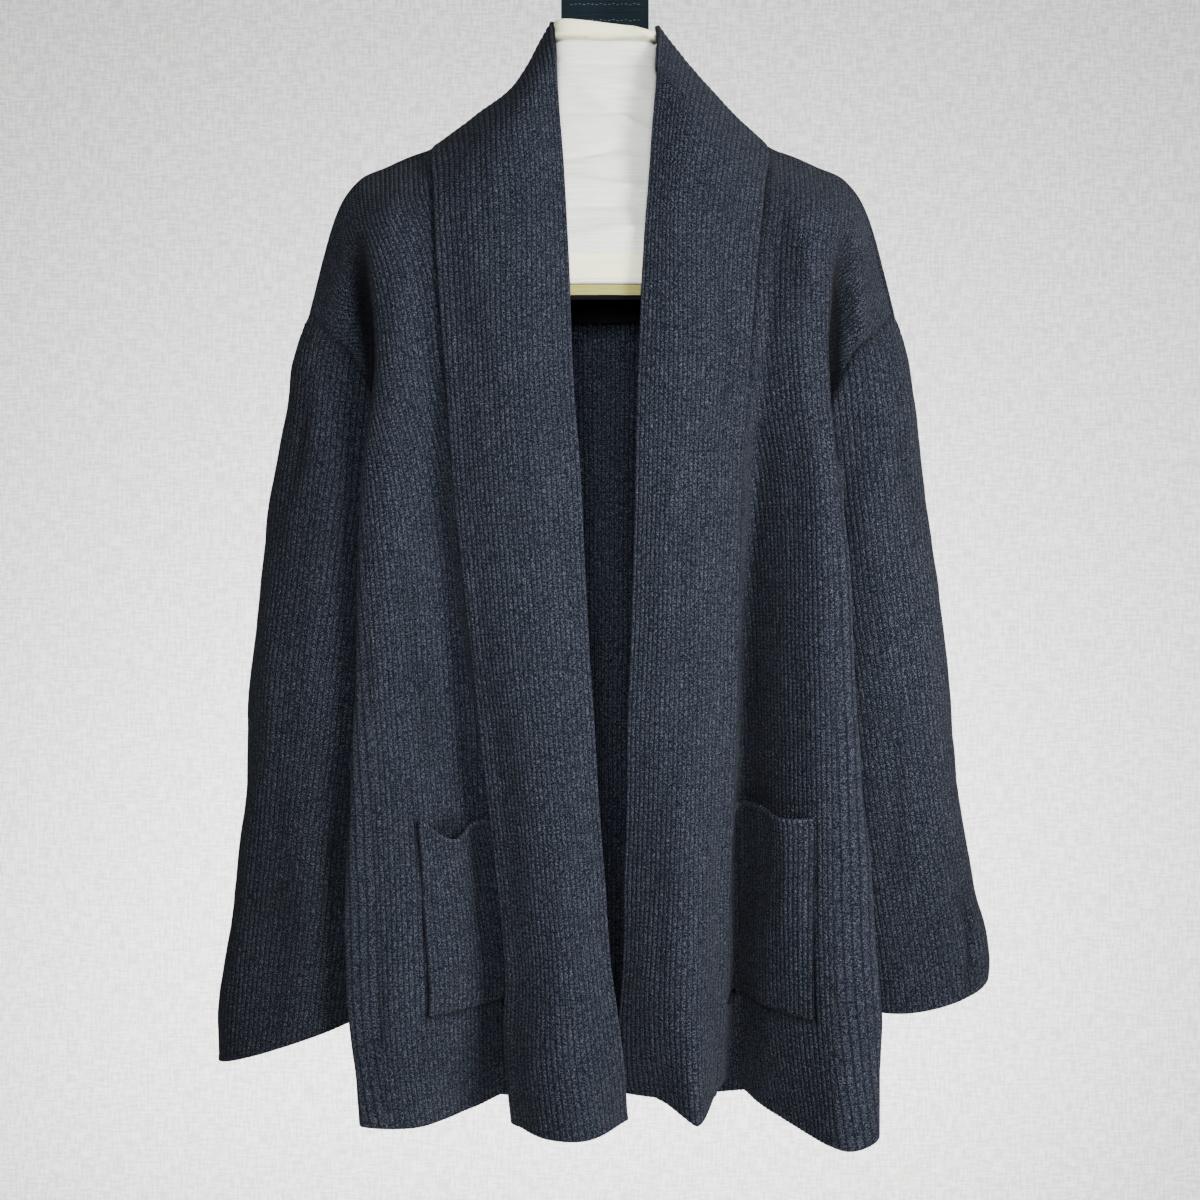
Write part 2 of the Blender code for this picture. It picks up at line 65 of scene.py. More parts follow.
ARMPIT_ROW = 5           # rows of a panel: 0 shoulder, 5 armpit, 9 hem
HEM_ROW = 9
BAND_WALL = 4.4
BAND_RIBS = 26
BAND_STEPS = 6           # mesh columns to each rib
BAND_PROUD = 1.5         # the band's sewn edge stands this far over the panel
BAND_EDGE = 5.0          # over this width
PEAK_ROWS, PEAK_FROM = 0.35, 0.55       # the folded corner: rows, and share across the band
# How far that corner, at the top of the front, stands up and lies in to the neck.
BAND_PEAK = {"right": (6.0, 1.2), "left": (4.5, 2.6)}

# One row per course from the centre back: seam, outer third, inner third, free edge.
BAND_RIGHT = (
    ((-2.5, 64, -172), (-2.5, 68, -138), (-2.5, 62, -103), (-2.5, 49, -68)),
    ((-76, 54, -161), (-69, 55, -131), (-56, 49, -97), (-39, 38, -64)),
    ((-136, 2, -146), (-105, -3, -125), (-72, -10, -100), (-44, -10, -55)),
    ((-134, -48, -195), (-102, -57, -165), (-68, -61, -132), (-38.5, -50, -88)),
    ((-131, -58, -245), (-99, -70, -228), (-63, -74, -206), (-32, -62, -172)),
    ((-127, -62, -300), (-95, -76, -292), (-60, -80, -280), (-27, -72, -262)),
    ((-122, -64, -360), (-91, -79, -359), (-56, -83, -357), (-23, -75, -354)),
    ((-116, -64, -440), (-85, -81, -440), (-50, -85, -440), (-17, -77, -440)),
    ((-98, -60, -610), (-69, -80, -610), (-37, -86, -610), (-8, -76, -610)),
    ((-79, -52, -786), (-51, -79, -786), (-22, -87, -786), (5, -71, -786)),
    ((-79, -46, -862), (-50, -80, -863), (-17, -88, -863), (14, -63, -861)),
    ((-73, -42, -928), (-46, -80, -929), (-12, -88, -927), (19, -52, -922)),
)
BAND_LEFT = (
    ((-2.5, 64, -172), (-2.5, 68, -138), (-2.5, 62, -103), (-2.5, 49, -68)),
    ((70, 54, -160), (65, 55, -129), (53, 49, -96), (39, 38, -64)),
    ((129, 2, -145), (101, -3, -122), (72, -10, -90), (44.5, -10, -57)),
    ((124, -48, -198), (98, -58, -167), (67, -62, -133), (41, -50, -90)),
    ((119, -58, -245), (90, -71, -228), (58, -74, -206), (34, -62, -172)),
    ((114, -62, -300), (86, -77, -292), (54, -80, -280), (28, -72, -262)),
    ((110, -62, -360), (82, -79, -359), (52, -82, -358), (24, -76, -355)),
    ((105, -60, -440), (78, -79, -440), (49, -82, -440), (22, -76, -440)),
    ((102, -54, -610), (73, -77, -610), (45, -80, -610), (17, -72, -610)),
    ((96, -40, -786), (68, -74, -786), (41, -72, -786), (13, -50, -786)),
    ((94, -32, -862), (70, -74, -862), (42, -62, -860), (10, -34, -856)),
    ((88, -20, -909), (72, -74, -921), (45, -50, -909), (10, -22, -903)),
)
# Soft folds of the band: from x, z, to x, z, half width, height (troughs are minus).
BAND_FOLDS = {
    "right": ((-112, -250, -78, -420, 11, -1.8), (-60, -300, -52, -520, 13, 1.6),
              (-92, -560, -66, -760, 12, -1.6), (-40, -700, -34, -880, 12, 1.5),
              (-70, -130, -90, -230, 14, 1.6)),
    "left": ((96, -230, 84, -430, 12, -1.7), (54, -330, 46, -560, 13, 1.7),
             (86, -600, 78, -820, 12, 1.4), (50, -640, 36, -840, 12, -1.8),
             (70, -130, 84, -220, 14, 1.5)),
}


def curve(points, places):
    """Points at fractional places along a table, on smooth curves through all its rows."""
    points = np.asarray(points, float)
    places = np.asarray(places, float)
    ends = [2 * points[:1] - points[1:2], points, 2 * points[-1:] - points[-2:-1]]
    points = np.concatenate(ends)
    start = np.clip(np.floor(places).astype(int), 0, len(points) - 4)
    part = (places - start).reshape(-1, *[1] * (points.ndim - 1))
    behind, here, ahead, beyond = (points[start + i] for i in range(4))
    return here + 0.5 * part * (ahead - behind
                                + part * (2 * behind - 5 * here + 4 * ahead - beyond)
                                + part ** 2 * (3 * (here - ahead) + beyond - behind))


def across_lines(lines, places):
    """Fill in a surface between lines that run down it: rows by places by x, y, z."""
    return np.swapaxes(curve(np.stack(lines), places), 0, 1)


def lengths(points, axis):
    """Distance walked along one axis of a grid of points."""
    steps = np.linalg.norm(np.diff(points, axis=axis), axis=2)
    first = np.zeros_like(np.take(steps, [0], axis=axis))
    return np.concatenate([first, np.cumsum(steps, axis=axis)], axis=axis)


def outward(points, turned, closed=False):
    """Direction out of the cloth at each point of a grid."""
    if closed:
        ring = np.concatenate([points[:, -2:-1], points, points[:, 1:2]], axis=1)
        along = np.gradient(ring, axis=1)[:, 1:-1]
    else:
        along = np.gradient(points, axis=1)
    out = np.cross(np.gradient(points, axis=0), along)
    out /= np.maximum(np.linalg.norm(out, axis=2, keepdims=True), 1e-9)
    return -out if turned else out


def read_across(field, arc, wanted):
    """Values of a grid at wanted distances along each of its rows."""
    return np.stack([np.stack([np.interp(w, a, row[:, i]) for i in range(field.shape[2])], -1)
                     for row, a, w in zip(field, arc, wanted)])


def shared_ribs(points, out, ribs, steps):
    """Cut each row into the same number of ribs: points, directions, rib numbers, edge."""
    arc = lengths(points, 1)
    number = np.linspace(0, ribs, ribs * steps + 1)
    wanted = number / ribs * arc[:, -1:]
    to_side = np.minimum(wanted, arc[:, -1:] - wanted)
    return (read_across(points, arc, wanted), read_across(out, arc, wanted),
            np.broadcast_to(number, wanted.shape), to_side)


def running_ribs(points, out, arc, steps, first_rib):
    """Cut each row at one pitch counted from a first rib, so ribs run off at the seams.

    The first rib's place is given as a column of the grid for each row.
    """
    columns = np.arange(points.shape[1])
    start = np.array([np.interp(place, columns, a) for place, a in zip(first_rib, arc)])
    arc = arc - start[:, None]
    low = math.floor(arc.min() / RIB_PITCH * steps)
    high = math.ceil(arc.max() / RIB_PITCH * steps)
    number = np.arange(low, high + 1) / steps
    wanted = np.clip(number * RIB_PITCH, arc[:, :1], arc[:, -1:])
    to_side = np.minimum(wanted - arc[:, :1], arc[:, -1:] - wanted)
    return (read_across(points, arc, wanted), read_across(out, arc, wanted),
            wanted / RIB_PITCH, to_side)


def ripple(points, size):
    """Slow uneven waves through space, about -1 to 1."""
    waves = ((1.0, 0.31, 0.55, 0.4), (-0.42, 0.8, 0.93, 2.1), (0.63, -0.57, 1.31, 4.4),
             (1.57, 0.5, -0.74, 1.2), (-1.12, 0.9, 1.83, 5.6))
    total = sum(np.sin(points @ np.array(w[:3]) * (2 * math.pi / size) + w[3]) for w in waves)
    return total / len(waves) * 1.6


def settle(distance, width):
    """0 at a seam rising softly to 1 a width away."""
    share = np.clip(distance / width, 0, 1)
    return share * share * (3 - 2 * share)


def near(distance, width):
    """1 at a line falling softly to 0 about two widths away."""
    return np.exp(-(distance / width) ** 2)


def rounded(distance, radius):
    """How far an edge's face is drawn in to round it off, at a distance from the edge."""
    left = np.clip(radius - distance, 0, radius)
    return radius - np.sqrt(radius * radius - left * left)


def folded(points, folds):
    """Soft troughs and ridges along lines seen from the front, uneven along their run."""
    total = np.zeros(points.shape[:2])
    for x0, z0, x1, z1, width, height in folds:
        run = np.array((x1 - x0, z1 - z0))
        here = points[..., [0, 2]] - (x0, z0)
        share = here @ run / (run @ run)
        bend = 0.35 * width * np.sin(share * 5 + x0)
        side = here @ np.array((-run[1], run[0])) / np.hypot(*run) + bend
        beyond = np.maximum(np.abs(share - 0.5) - 0.5, 0) * np.hypot(*run)
        spread = width * (0.8 + 0.3 * np.sin(share * 4 + z0))
        away = np.hypot(side, beyond) / spread
        ends = np.sin(math.pi * np.clip(share * 0.8 + 0.1, 0, 1))
        total += height * np.exp(-away ** 2) * ends
    return total


def as_piece(work, name, mesh=None):
    """Turn a finished bmesh into a smooth piece of the scene."""
    for face in work.faces:
        face.smooth = True
    mesh = mesh or bpy.data.meshes.new(name)
    work.to_mesh(mesh)
    work.free()
    piece = bpy.data.objects.new(name, mesh)
    bpy.context.scene.collection.objects.link(piece)
    return piece


def knit_shell(name, outer, inner, marks, closed):
    """A closed shell of cloth through two grids of points.

    One UV map holds rib and course numbers, and the other how much painted shade lies there.
    """
    rows, columns = outer.shape[:2]
    work = bmesh.new()
    bmesh.ops.create_grid(work, x_segments=columns - 1, y_segments=rows - 1, size=1)
    bmesh.ops.solidify(work, geom=work.faces[:], thickness=1)
    if closed:
        ends = [f for f in work.faces if all(abs(v.co.x) > 0.9999 for v in f.verts)]
        bmesh.ops.delete(work, geom=ends, context="FACES_ONLY")
    mesh = bpy.data.meshes.new(name)
    work.to_mesh(mesh)
    flat = np.empty(len(mesh.vertices) * 3, np.float32)
    mesh.vertices.foreach_get("co", flat)
    flat = flat.reshape(-1, 3)
    column = np.rint((flat[:, 0] + 1) / 2 * (columns - 1)).astype(int)
    row = np.rint((flat[:, 1] + 1) / 2 * (rows - 1)).astype(int)
    within = np.abs(flat[:, 2]) > 0.5
    placed = np.where(within[:, None], inner[row, column], outer[row, column]) * MM
    mesh.vertices.foreach_set("co", placed.astype(np.float32).ravel())
    corner = np.empty(len(mesh.loops), np.int32)
    mesh.loops.foreach_get("vertex_index", corner)
    for layer, picked in (("ribs", [0, 1]), ("painted_shade", [2, 2])):
        uv = mesh.uv_layers.new(name=layer)
        values = marks[..., picked][row, column][corner]
        uv.data.foreach_set("uv", values.astype(np.float32).ravel())
    work.free()
    work = bmesh.new()
    work.from_mesh(mesh)
    bmesh.ops.remove_doubles(work, verts=work.verts[:], dist=1e-6)
    bmesh.ops.dissolve_degenerate(work, edges=work.edges[:], dist=1e-6)
    bmesh.ops.recalc_face_normals(work, faces=work.faces[:])
    return as_piece(work, name, mesh)


def knit_piece(name, node, points, out, number, to_side, wall, closed=False, free_side=None,
               free_top=False, swell=0, folds=(), relief=RIB_RELIEF, dark=0):
    """Make one knitted piece: ribs, ripples and folds on it, its free edges rounded."""
    down = lengths(points, 0)
    to_top, to_foot = down, down[-1] - down
    far_edge = lengths(points, 1)
    far_edge = far_edge[:, -1:] - far_edge
    ridge = 1 - np.abs(2 * (number % 1) - 1) ** RIB_SQUARE
    sewn = to_side if free_side is None else lengths(points, 1)
    if free_side == "both":
        sewn = np.full(points.shape[:2], 1e3)
    if not free_top:
        sewn = np.minimum(sewn, to_top)
    soft = settle(sewn, SEAM_SOFT)
    risen = settle(sewn, SEAM_RIBS)
    lift = relief * (RIB_LEVEL + (ridge - RIB_LEVEL) * risen - RIB_SINK)
    lift += sum(ripple(points, size) * height for size, height in RIPPLES) * soft
    bends = folded(points, folds)
    lift += bends * soft + swell
    # Painted shade in the troughs of folds, along seams, and whatever the piece adds.
    painted_shade = FOLD_DARK * np.maximum(-bends, 0) + SEAM_DARK * near(sewn, SEAM_LINE) + dark
    depth = wall - relief * INSIDE_RELIEF * (1 - ridge) * risen
    edge = to_foot
    if free_top:
        edge = np.minimum(edge, to_top)
    if free_side is not None:
        edge = np.minimum(edge, to_side if free_side == "both" else far_edge)
    draw = rounded(edge, wall / 2)
    outer = points + out * (lift - draw)[..., None]
    inner = points + out * (lift - depth + draw)[..., None]
    courses = np.repeat(down[:, down.shape[1] // 2, None], points.shape[1], 1) / COURSE_PITCH
    marks = np.stack([number, courses, np.minimum(painted_shade, 1)], -1)
    piece = knit_shell(name, outer, inner, marks, closed)
    piece.data.materials.append(knit)
    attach(piece, "root")
    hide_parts(node)
    return piece


def down_places(first, last, steps):
    """Even places down a table, with a few close ones at its foot to round the edge."""
    body = np.linspace(first, last, steps + 1)
    return np.concatenate([body[:-1], last - np.array([0.045, 0.03, 0.018, 0.008, 0])])


# Brushed wool: a node group draws the V stitches of each rib, the bars of its grooves, the
# pale fibres of the melange and the nap, all from the rib and course numbers.  The grooves'
# mark also lays painted shade in them.
GROOVE_FROM_TOP = (0.28, 0.44)      # a groove's sides, in ribs from the top of the rib
FIBRE_SPREAD = (0.48, 0.62)         # the noise between dark and pale fibres
WOOL_DARK, WOOL_PALE = (0.0030, 0.0046, 0.0088), (0.070, 0.077, 0.096)
# Painted shade at the bottom of the grooves between the ribs.
GROOVE_SHADE = (0.003, 0.004, 0.007)
PATCH_TINTS = (0.72, 0.73, 0.76), (1.2, 1.2, 1.2)
CREASE_DARK = 0.88                  # full painted shade takes away this share of the colour
NAP_HEIGHT = 0.0009
wool = bpy.data.node_groups.new("Brushed rib", "ShaderNodeTree")
for name, kind in (("Ribs", "NodeSocketVector"), ("Object", "NodeSocketVector")):
    wool.interface.new_socket(name, in_out="INPUT", socket_type=kind)
for name in ("Fibre", "Groove", "Patch", "Height"):
    wool.interface.new_socket(name, in_out="OUTPUT", socket_type="NodeSocketFloat")


def wired(tree, kind, inputs=(), **settings):
    """Add a node, set its properties, and link or set its inputs in order."""
    node = tree.nodes.new(kind)
    for key, value in settings.items():
        setattr(node, key, value)
    for place, value in inputs.items() if isinstance(inputs, dict) else enumerate(inputs):
        if isinstance(value, bpy.types.NodeSocket):
            tree.links.new(value, node.inputs[place])
        elif value is not None:
            node.inputs[place].default_value = value
    return node


def worked_out(tree, kind, *values):
    """A maths node's result."""
    return wired(tree, "ShaderNodeMath", values, operation=kind).outputs[0]


def noise(tree, space, scale, detail=2.0, roughness=0.5):
    """A noise's value."""
    return wired(tree, "ShaderNodeTexNoise", {"Vector": space, "Scale": scale, "Detail": detail,
                                              "Roughness": roughness}).outputs[0]


def ranged(tree, value, low, high, soft=False):
    """A value brought from low..high to 0..1."""
    return wired(tree, "ShaderNodeMapRange", {"Value": value, "From Min": low, "From Max": high},
                 interpolation_type="SMOOTHSTEP" if soft else "LINEAR").outputs[0]


def mixed(tree, factor, first, last, blend="MIX"):
    """A blend of two colours."""
    first, last = ((*end, 1) if isinstance(end, tuple) else end for end in (first, last))
    return wired(tree, "ShaderNodeMix", {"Factor": factor, 6: first, 7: last},
                 data_type="RGBA", blend_type=blend).outputs[2]


def new_finish(name, roughness, specular=0.5):
    """A new material, its node tree and its shader."""
    made = bpy.data.materials.new(name)
    made.use_nodes = True
    shader = made.node_tree.nodes["Principled BSDF"]
    shader.inputs["Roughness"].default_value = roughness
    shader.inputs["Specular IOR Level"].default_value = specular
    return made, made.node_tree, shader


given = wool.nodes.new("NodeGroupInput")
given_out = wool.nodes.new("NodeGroupOutput")
place_on = given.outputs["Object"]
apart = wired(wool, "ShaderNodeSeparateXYZ", [given.outputs["Ribs"]])
rib, course = apart.outputs[0], apart.outputs[1]
wander = worked_out(wool, "SUBTRACT", noise(wool, place_on, 130), 0.5)
rib = worked_out(wool, "MULTIPLY_ADD", wander, 0.14, rib)
course = worked_out(wool, "MULTIPLY_ADD", wander, 0.8, course)
from_top = worked_out(wool, "ABSOLUTE", worked_out(
    wool, "SUBTRACT", worked_out(wool, "FRACT", rib), 0.5))
slant = worked_out(wool, "SUBTRACT", course, worked_out(wool, "MULTIPLY", from_top, 1.5))
stitch = worked_out(wool, "SINE", worked_out(wool, "MULTIPLY", slant, 2 * math.pi))
stitch = worked_out(wool, "MULTIPLY_ADD", stitch, 0.5, 0.5)
bars = worked_out(wool, "SINE", worked_out(wool, "MULTIPLY", course, 2 * math.pi))
bars = worked_out(wool, "MULTIPLY_ADD", bars, 0.5, 0.5)
groove = ranged(wool, from_top, *GROOVE_FROM_TOP, soft=True)
dots = worked_out(wool, "MULTIPLY", groove, worked_out(wool, "MULTIPLY_ADD", bars, 0.5, 0.5))
fine = noise(wool, place_on, 1050, 2, 0.7)
hairs = wired(wool, "ShaderNodeTexNoise", {"Vector": place_on, "Scale": 620, "Detail": 3,
                                           "Roughness": 0.75, "Distortion": 1.6}).outputs[0]
patch = noise(wool, place_on, 20, 4, 0.6)
both = worked_out(wool, "MULTIPLY_ADD", fine, 0.55, worked_out(wool, "MULTIPLY", hairs, 0.45))
pale = ranged(wool, both, *FIBRE_SPREAD)
relief = worked_out(wool, "MULTIPLY", stitch, worked_out(wool, "SUBTRACT", 1.0, groove))
relief = worked_out(wool, "MULTIPLY_ADD", relief, 0.5, worked_out(wool, "MULTIPLY", hairs, 0.6))
relief = worked_out(wool, "MULTIPLY_ADD", fine, 0.4, relief)
relief = worked_out(wool, "SUBTRACT", relief, worked_out(wool, "MULTIPLY", dots, 0.45))
wool.links.new(pale, given_out.inputs["Fibre"])
wool.links.new(dots, given_out.inputs["Groove"])
wool.links.new(patch, given_out.inputs["Patch"])
wool.links.new(relief, given_out.inputs["Height"])

knit, tree, shader = new_finish("charcoal_brushed_rib", 0.95, 0.05)
shader.inputs["Sheen Weight"].default_value = 0.02
shader.inputs["Sheen Roughness"].default_value = 0.6
shader.inputs["Sheen Tint"].default_value = (0.8, 0.8, 0.85, 1)
ribs_map = wired(tree, "ShaderNodeUVMap", uv_map="ribs")
space = wired(tree, "ShaderNodeTexCoord")
brushed = wired(tree, "ShaderNodeGroup", node_tree=wool)
tree.links.new(ribs_map.outputs[0], brushed.inputs["Ribs"])
tree.links.new(space.outputs["Object"], brushed.inputs["Object"])
fibres = mixed(tree, brushed.outputs["Fibre"], WOOL_DARK, WOOL_PALE)
patches = mixed(tree, brushed.outputs["Patch"], *PATCH_TINTS)
worn = mixed(tree, 1.0, fibres, patches, blend="MULTIPLY")
# The grooves are painted darker, as shade.
in_groove = worked_out(tree, "MULTIPLY", brushed.outputs["Groove"], 0.9)
deep = mixed(tree, in_groove, worn, GROOVE_SHADE)
# The second UV map darkens the colour with painted shade.
painted_shade_map = wired(tree, "ShaderNodeUVMap", uv_map="painted_shade")
painted_shade = wired(tree, "ShaderNodeSeparateXYZ", [painted_shade_map.outputs[0]]).outputs[0]
lit = worked_out(tree, "MULTIPLY_ADD", painted_shade, -CREASE_DARK, 1.0)
shaded = wired(tree, "ShaderNodeVectorMath", {0: deep, "Scale": lit}, operation="SCALE")
tree.links.new(shaded.outputs[0], shader.inputs["Base Color"])
nap = wired(tree, "ShaderNodeBump", {"Strength": 0.8, "Distance": NAP_HEIGHT,
                                     "Height": brushed.outputs["Height"]})
tree.links.new(nap.outputs[0], shader.inputs["Normal"])


def band_surface(band, places):
    """Outer face of half of the band at places down its table, seam to free edge."""
    lines = [curve([row[cell] for row in band], places) for cell in range(4)]
    return across_lines(lines, np.linspace(0, 3, 37))


band_places = down_places(0, HEM_ROW + NECK_ROWS, 128)
for side, band, turned in (("right", BAND_RIGHT, False), ("left", BAND_LEFT, True)):
    face = band_surface(band, band_places)
    face, out, number, to_side = shared_ribs(face, outward(face, turned), BAND_RIBS, BAND_STEPS)
    from_seam = lengths(face, 1)
    at_neck = near(band_places - NECK_ROWS, PEAK_ROWS)[:, None]
    at_neck = at_neck * settle(number / BAND_RIBS - PEAK_FROM, 0.4)
    rise, inward = BAND_PEAK[side]
    face += np.array((inward if side == "right" else -inward, 0, rise)) * at_neck[..., None]
    on_front = settle(band_places - NECK_ROWS, 1.0)[:, None]
    proud = BAND_PROUD * on_front * (1 - settle(from_seam - BAND_EDGE, BAND_EDGE * 2))
    strip = knit_piece(f"collar_band_{side}", f"collar_{side}", face, out, number, to_side,
                       BAND_WALL, free_side="far", swell=proud, folds=BAND_FOLDS[side])

# ---------------------------------------------------------------------------------------
# Fronts.  A panel of the same rib from the shoulder seam to the plain hem, sewn to the band
# along one edge and to the sleeve and the back along the other.  Under the band each falls
# in a deep hollow, and at the side it folds back into a tuck.
BODY_WALL = 3.4
CENTRE_X = -2.5
PANEL_STEPS = 5          # mesh columns to each rib
CELL_STEPS = 10
BAND_DIP = 2.2           # the panel dips this far where it goes under the band
BAND_DIP_WIDTH = 7.0
# Lines of painted shade, each its width and how dark: where the panel goes under the band,
# in the gap between the body and the sleeve, round a pocket's side and foot, and in its mouth.
BAND_LINE, BAND_DARK = 4.5, 0.75
SIDE_LINE, SIDE_DARK = 5.0, 0.8
POCKET_LINE, FOOT_LINE, POCKET_DARK = 1.7, 2.72, 0.9
MOUTH_LINE, MOUTH_DARK = 5.0, 0.7
CAP_LEAN = 0.95          # ribs turn this far on the cap of the shoulder, beyond the armpit fold
CAP_RELIEF = 0.2         # share of the relief left there
CAP_TURN = 80            # the ribs turn over this far down

# Shoulder line from the neck point out to the dropped shoulder: x, y, z.
SHOULDER = (
    (-133.5, 2, -146), (-144, 2, -150.6), (-158, 2, -155.5), (-177, 2, -164),
    (-201, 2, -176), (-220, 2, -207), (-240, 2, -282),
)
# Armhole between the dropped shoulder and the armpit: front x, y, z, back x, y, z.
ARMHOLE = (
    (-223, -13, -301, -226, 19, -303),
    (-203, -20, -319, -209, 31, -324),
    (-188, -20, -352, -192, 36, -356),
    (-179, -15, -398, -181, 33, -400),
)
# Side seam from the armpit to the hem: x, y, z.
SIDE_SEAM = (
    (-169, 9, -445), (-168, 12, -610), (-169, 12, -786), (-170, 12, -862), (-170, 12, -930),
)

# One row per course below the shoulder: hollow, corner, face, fold, tuck.
FRONT_RIGHT = (
    ((-149, -46, -199), (-160, -47, -203), (-174, -46, -209), (-192, -36, -218), (-207, -26, -242)),
    ((-145, -56, -248), (-156, -58, -250), (-169, -58, -253), (-186, -48, -260), (-193, -26, -277)),
    ((-141, -58, -302), (-153, -61, -303), (-168, -62, -305), (-184, -50, -308), (-184, -34, -316)),
    ((-136, -57, -361), (-151, -61, -362), (-170, -63, -364), (-188, -50, -366), (-183, -32, -372)),
    ((-128, -52, -440), (-144, -55, -440), (-168, -62, -440), (-191, -50, -440), (-182, -28, -442)),
    ((-104, -34, -608), (-128, -45, -609), (-162, -59, -610), (-197, -51, -610), (-180, -22, -610)),
    ((-79, -8, -782), (-110, -30, -784), (-152, -56, -786), (-203, -50, -786), (-181, -20, -786)),
    ((-78, -2, -857), (-108, -26, -860), (-150, -55, -862), (-199, -51, -862), (-180, -20, -862)),
    ((-76, 8, -918), (-106, -14, -924), (-146, -53, -928), (-191, -52, -928), (-178, -20, -929)),
)
FRONT_LEFT = (
    ((138, -46, -203), (148, -46, -205), (166, -46, -208), (185, -38, -215), (203, -27, -242)),
    ((132, -54, -247), (142, -56, -249), (158, -58, -252), (178, -50, -258), (188, -26, -276)),
    ((127, -56, -301), (138, -59, -302), (156, -62, -304), (178, -54, -306), (179, -34, -315)),
    ((121, -50, -361), (142, -57, -362), (160, -64, -363), (181, -56, -364), (177, -32, -371)),
    ((117, -28, -440), (144, -50, -440), (166, -66, -440), (187, -58, -440), (176, -28, -441)),
    ((112, -8, -604), (143, -50, -607), (170, -68, -610), (196, -60, -610), (174, -24, -610)),
    ((109, -5, -776), (134, -46, -781), (172, -70, -786), (210, -62, -786), (174, -24, -786)),
    ((107, 3, -851), (132, -37, -858), (175, -73, -862), (215, -64, -862), (175, -24, -862)),
    ((104, 18, -909), (129, -18, -923), (181, -73, -940), (213, -62, -932), (173, -24, -931)),
)
# Where the first rib passes on each row: 0 the band seam, 6 the armhole or side seam.
FIRST_RIB = {
    "right": (4.0, 4.0, 3.5, 3.0, 2.4, 1.85, 2.0, 2.3, 2.3, 2.3),
    "left": (2.6, 2.75, 2.9, 3.0, 3.0, 3.0, 3.0, 3.0, 3.0, 3.0),
}
# The fold over each armpit: x, z at its top and foot.
ARMPIT_FOLD = {"right": (-193, -232, -188, -390), "left": (184, -240, 182, -410)}
# Where the nap lies in shade: from x, z, to x, z, half width, how dark.
FRONT_SHADE = {
    "right": ((-194, -236, -190, -372, 9, 0.75), (-96, -560, -84, -860, 9, 0.25)),
    "left": ((184, -250, 182, -405, 7, 0.75), (124, -380, 121, -620, 13, 0.45),
             (134, -150, 126, -390, 13, 0.35), (121, -560, 116, -880, 15, 0.45)),
}
# Each pocket on its front: first and last column, first and last row of the table.
POCKET_CELLS = {"right": (0.5, 2.75), "left": (0.5, 2.74)}
POCKET_ROWS = {"right": (6.44, 7.66), "left": (6.40, 7.66)}
POCKET_SAG = {"right": 11.0, "left": 3.0}
FRONT_FOLDS = {
    "right": ((-193, -232, -188, -390, 8, -6.0), (-150, -190, -176, -330, 12, -2.4),
              (-166, -210, -150, -400, 14, 2.0), (-120, -300, -138, -470, 12, -1.8),
              (-175, -420, -185, -640, 12, 2.0), (-150, -480, -135, -700, 14, -1.8),
              (-140, -660, -160, -900, 16, 1.8), (-172, -720, -176, -920, 10, -1.6)),
    "left": ((187, -232, 183, -410, 7, -8.0), (203, -262, 197, -340, 9, 5.0),
             (138, -190, 164, -320, 11, -2.2), (160, -210, 150, -400, 13, 1.8),
             (170, -420, 176, -560, 12, 1.8), (150, -560, 146, -760, 12, -1.6),
             (190, -640, 198, -860, 12, 1.6), (160, -760, 168, -930, 14, -1.4)),
}


def mirrored(points):
    """The same points on the other side of the cardigan's centre."""
    return np.asarray(points, float) * (-1, 1, 1) + (2 * CENTRE_X, 0, 0)


def side_line(back, places, flip):
    """Armhole and side seam at places from the shoulder to the hem."""
    first = 3 if back else 0
    armhole = [SHOULDER[-1]] + [row[first:first + 3] for row in ARMHOLE] + [SIDE_SEAM[0]]
    upper = curve(armhole, np.minimum(places, ARMPIT_ROW))
    lower = curve(SIDE_SEAM, np.maximum(places - ARMPIT_ROW, 0))
    line = np.where((places <= ARMPIT_ROW)[:, None], upper, lower)
    return mirrored(line) if flip else line


def front_surface(cells, band, flip, places, across):
    """Outer face of a front at places down and across it."""
    shoulder = mirrored(SHOULDER) if flip else np.array(SHOULDER, float)
    lines = [curve([row[0] for row in band], places + NECK_ROWS)]
    for cell in range(5):
        lines.append(curve([shoulder[cell + 1]] + [row[cell] for row in cells], places))
    lines.append(side_line(False, places, flip))
    return across_lines(lines, across)


def away_from(points, line):
    """Distance of each point of a grid from a line of points, seen from the front."""
    apart = points[:, :, None, [0, 2]] - line[:, [0, 2]]
    return np.linalg.norm(apart, axis=3).min(axis=2)


